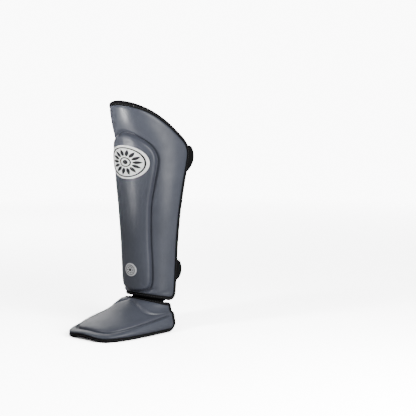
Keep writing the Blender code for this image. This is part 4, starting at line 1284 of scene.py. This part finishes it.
class Look:
    """A procedural material, whose patterns follow the piece's own coordinates in metres."""

    def __init__(self, name, colour, roughness, metallic=0.0):
        """Starts with a plain colour."""
        self.material = bpy.data.materials.new(name)
        self.material.use_nodes = True
        self.tree = self.material.node_tree
        self.shader = self.tree.nodes["Principled BSDF"]
        self.where = self.add("TexCoord", {}).outputs["Object"]
        self.finish({"Base Color": (*colour, 1.0), "Roughness": roughness, "Metallic": metallic})

    def add(self, kind, inputs, **settings):
        """Adds a node to the material."""
        return add_node(self.tree, kind, inputs, **settings)

    def finish(self, inputs):
        """Sets or links inputs of the main shader and gives the material."""
        fill_sockets(self.tree, self.shader, inputs)
        return self.material

    def noise(self, scale, detail=4.0, rough=0.5, stretch=None):
        """Cloudy noise, stretched where its scale differs along the axes."""
        where = self.where
        if stretch is not None:
            where = self.add("Mapping", {"Vector": where, "Scale": stretch}).outputs["Vector"]
        inputs = {"Vector": where, "Scale": scale, "Detail": detail, "Roughness": rough}
        return self.add("TexNoise", inputs).outputs["Fac"]

    def wave(self, direction, scale, distortion=0.0):
        """Bands along a direction, uneven where they are distorted."""
        inputs = {"Vector": self.where, "Scale": scale, "Distortion": distortion}
        inputs.update({"Detail": 1.0, "Detail Scale": 3.0})
        return self.add("TexWave", inputs, bands_direction=direction).outputs["Fac"]

    def ramp(self, value, *stops):
        """Colours for a value, from stops of a place and a colour."""
        node = self.add("ValToRGB", {"Fac": value})
        band = node.color_ramp
        while len(band.elements) < len(stops):
            band.elements.new(0.5)
        for element, (position, colour) in zip(band.elements, stops):
            element.position = position
            element.color = (*colour, 1.0)
        return node.outputs["Color"]

    def spread(self, value, low, high, out_low, out_high):
        """A value's range carried over to another range."""
        inputs = {"Value": value, "From Min": low, "From Max": high, "To Min": out_low, "To Max": out_high}
        return self.add("MapRange", inputs).outputs["Result"]

    def mix(self, blend, share, one, other):
        """Two colours or vectors mixed."""
        inputs = {"Fac": share, "Color1": one, "Color2": other}
        return self.add("MixRGB", inputs, blend_type=blend).outputs["Color"]

    def bump(self, height, distance, strength, normal=None):
        """Fine relief from a height, on top of an earlier one where that is given."""
        inputs = {"Height": height, "Distance": distance, "Strength": strength}
        if normal is not None:
            inputs["Normal"] = normal
        return self.add("Bump", inputs).outputs["Normal"]


def leather_material():
    """Grey coated leather: pebble grain, soft creasing, faint scuffs and a broad tone that varies at random.
    """
    look = Look("grey_leather_look", LEATHER_MID, 0.44)
    broad = look.noise(16.0, 3.0, 0.55)
    colour = look.ramp(broad, (0.30, LEATHER_DARK), (0.52, LEATHER_MID), (0.74, LEATHER_LIGHT))
    speck = look.ramp(look.noise(900.0, 2.0, 0.6), (0.25, (0.82, 0.82, 0.83)), (0.7, (1.06, 1.06, 1.06)))
    scuffs = look.spread(look.noise(42.0, 5.0, 0.6), 0.3, 0.7, 0.36, 0.47)
    shake = look.add("TexNoise", {"Vector": look.where, "Scale": 240.0}).outputs["Color"]
    pebbles = {"Vector": look.mix("ADD", 0.0012, look.where, shake), "Scale": 720.0, "Smoothness": 0.6}
    grain = look.add("TexVoronoi", pebbles, feature="SMOOTH_F1").outputs["Distance"]
    normal = look.bump(grain, 0.00012, 0.55)
    normal = look.bump(look.noise(75.0, 3.0, 0.5, (1.0, 1.0, 0.55)), 0.0009, 0.32, normal)
    normal = look.bump(look.noise(24.0, 2.0, 0.5), 0.0035, 0.22, normal)
    base = look.mix("MULTIPLY", 0.5, colour, speck)
    return look.finish({"Base Color": base, "Roughness": scuffs, "Normal": normal})


def woven_material(cloth):
    """A woven band: fine weave with lint, from two crossed wave patterns, and ribs where it has any."""
    look = Look(cloth.name, cloth.dark, cloth.roughness)
    level, slanted = [look.wave(direction, WAVE_SCALE / cloth.pitch, 0.6) for direction in ("Z", "DIAGONAL")]
    weave = look.add("Math", {0: level, 1: slanted}, operation="MULTIPLY").outputs["Value"]
    colour = look.ramp(weave, (0.1, cloth.dark), (0.75, cloth.light))
    lint = look.ramp(look.noise(1500.0, 2.0, 0.7), (0.60, (0.0, 0.0, 0.0)), (0.90, (0.014, 0.014, 0.015)))
    normal = look.bump(weave, 0.00018, cloth.relief)
    if cloth.rib is not None:
        normal = look.bump(look.wave("Z", WAVE_SCALE / cloth.rib), 0.0004, 0.6, normal)
    base = look.mix("ADD", 0.35, colour, lint)
    return look.finish({"Base Color": base, "Normal": normal, "Specular IOR Level": WOVEN_SHINE})


def thread_material():
    """Twisted thread with a little dust."""
    look = Look("thread_look", THREAD, 0.55)
    dust = look.ramp(look.noise(60.0), (0.3, tuple(0.75 * part for part in THREAD)), (0.7, THREAD))
    twist = look.bump(look.wave("DIAGONAL", 900.0), 0.0001, 0.6)
    return look.finish({"Base Color": dust, "Normal": twist})


def moulded_material(rubber):
    """Moulded badge rubber with a fine matt texture and a trace of grime."""
    look = Look(rubber.name, rubber.colour, rubber.roughness, rubber.metallic)
    grime = look.noise(55.0, 4.0, 0.6)
    inputs = {
        "Base Color": look.ramp(grime, (0.28, rubber.dark), (0.55, rubber.colour)),
        "Roughness": look.spread(grime, 0.3, 0.7, rubber.roughness + 0.08, rubber.roughness - 0.05),
        "Normal": look.bump(look.noise(1400.0, 2.0, 0.5), 0.00006, 0.5),
        "Specular IOR Level": rubber.shine,
    }
    return look.finish(inputs)


def floor_material():
    """White card that looks fully lit and fades into the white surround well away from the object."""
    look = Look("studio_floor_look", (0.45, 0.45, 0.45), 0.7)
    look.finish({"Base Color": look.ramp(look.noise(4.0, 2.0), (0.3, (0.44,) * 3), (0.7, (0.46,) * 3))})
    seen = look.add("BsdfDiffuse", {"Color": (FLOOR_GAIN, FLOOR_GAIN, FLOOR_GAIN, 1.0)}).outputs["BSDF"]
    camera_ray = look.add("LightPath", {}).outputs["Is Camera Ray"]
    lit = look.add("MixShader", {"Fac": camera_ray, 1: look.shader.outputs["BSDF"], 2: seen})
    reach = look.add("VectorMath", {0: look.where}, operation="LENGTH").outputs["Value"]
    fade = look.spread(reach, *FLOOR_FADE, 0.0, 1.0)
    clear = look.add("BsdfTransparent", {}).outputs["BSDF"]
    faded = look.add("MixShader", {"Fac": fade, 1: lit.outputs["Shader"], 2: clear}).outputs["Shader"]
    fill_sockets(look.tree, look.tree.nodes["Material Output"], {"Surface": faded})
    return look.material


def surround():
    """A white world, brighter to the camera than to the object."""
    world = bpy.data.worlds.new("studio")
    bpy.context.scene.world = world
    world.use_nodes = True
    tree = world.node_tree
    fill = tree.nodes["Background"]
    fill_sockets(tree, fill, {"Color": WHITE, "Strength": WORLD_FILL})
    seen = add_node(tree, "Background", {"Color": WHITE, "Strength": WORLD_SEEN})
    camera_ray = add_node(tree, "LightPath", {}).outputs["Is Camera Ray"]
    both = {"Fac": camera_ray, 1: fill.outputs["Background"], 2: seen.outputs["Background"]}
    mixed = add_node(tree, "MixShader", both).outputs["Shader"]
    fill_sockets(tree, tree.nodes["World Output"], {"Surface": mixed})


def towards(azimuth, elevation):
    """The unit vector towards an azimuth from the front and an elevation, both in degrees."""
    a, e = math.radians(azimuth), math.radians(elevation)
    return Vector((math.sin(a) * math.cos(e), -math.cos(a) * math.cos(e), math.sin(e)))


def set_up(name, data, place, back):
    """Adds a light or the camera, with its back towards a direction."""
    obj = bpy.data.objects.new(name, data)
    obj.location = place
    obj.rotation_mode = "QUATERNION"
    obj.rotation_quaternion = back.to_track_quat("Z", "Y")
    bpy.context.scene.collection.objects.link(obj)
    return obj


def studio():
    """A pale floor, the white surround and soft lights."""
    bpy.ops.mesh.primitive_circle_add(
        vertices=96, radius=FLOOR_RADIUS, fill_type="NGON", location=(0.0, 0.0, FLOOR_LEVEL)
    )
    floor = bpy.context.active_object
    floor.name = "studio_floor"
    floor.data.materials.append(floor_material())
    surround()
    for softbox in SOFTBOXES:
        light = bpy.data.lights.new(softbox.name, "AREA")
        light.shape = "RECTANGLE"
        light.size = softbox.width
        light.size_y = softbox.height
        light.energy = softbox.power
        light.spread = math.radians(softbox.spread)
        away = towards(softbox.azimuth, softbox.elevation)
        set_up(softbox.name, light, Vector((0.0, 0.0, softbox.aim)) + away * softbox.distance, away)


def camera():
    """The camera at the photograph's angle, with the object where the photograph has it."""
    azimuth = math.radians(CAMERA_AZIMUTH)
    right = Vector((math.cos(azimuth), math.sin(azimuth), 0.0))
    back = towards(CAMERA_AZIMUTH, CAMERA_ELEVATION)
    up = back.cross(right)
    pixels_per_metre = PIXELS_PER_MM * 1000
    look = Vector((0.0, 0.0, CAMERA_TARGET_HEIGHT))
    look += right * (PHOTO_SIZE / 2 - TARGET_PIXEL[0]) / pixels_per_metre
    look -= up * (PHOTO_SIZE / 2 - TARGET_PIXEL[1]) / pixels_per_metre
    data = bpy.data.cameras.new("camera")
    data.sensor_width = SENSOR_WIDTH
    data.lens = pixels_per_metre * CAMERA_DISTANCE / PHOTO_SIZE * SENSOR_WIDTH
    data.clip_start, data.clip_end = 0.05, 50.0
    bpy.context.scene.camera = set_up("camera", data, look + back * CAMERA_DISTANCE, back)


def main():
    """Makes every piece, the studio and the camera."""
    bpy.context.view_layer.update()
    leather = leather_material()
    lining, tape, webbing, hook = [woven_material(row) for row in WOVEN_LOOKS]
    thread = thread_material()
    white, black, silver, steel = [moulded_material(row) for row in MOULDED_LOOKS]

    shin, foot = shin_edge(), foot_edge()
    shin_pad_piece(shin, (leather, lining))
    foot_pad_piece(foot, (leather, lining))
    edge_tape("shin_edge_tape", shin, "shin_binding", tape)
    tape_stitches("shin_tape_thread", shin, thread)
    edge_tape("foot_edge_tape", foot, "foot_binding", tape)
    tape_stitches("foot_tape_thread", foot, thread)
    for strap in STRAPS:
        strap_piece(strap, webbing)
    for strap in STRAPS:
        tab_piece(strap, hook, thread)
    sole_strap_piece(webbing)
    ankle_strip_piece(webbing)

    shin_badge, ankle_badge = BADGES
    badge_piece("shin_badge_patch", shin_badge, white)
    rings = [round_mark((0.885, 0.82), RING_CELLS), round_mark((0.285, 0.225), RING_CELLS)]
    disc = round_mark((0.13, 0.065, 0.01), DISC_CELLS)
    petals = petal_marks(14, 0.34, 0.77, 0.088)
    badge_marks("shin_badge_marks", shin_badge, rings + [disc] + petals, black)
    badge_piece("ankle_badge_patch", ankle_badge, silver)
    ring = round_mark((0.76, 0.70), RING_CELLS)
    disc = round_mark((0.20, 0.10, 0.01), DISC_CELLS)
    dots = [round_mark((0.085, 0.0017), DOT_CELLS, centre) for centre in circle(8, 0.46)]
    badge_marks("ankle_badge_marks", ankle_badge, [ring, disc] + dots, steel)

    studio()
    camera()


main()
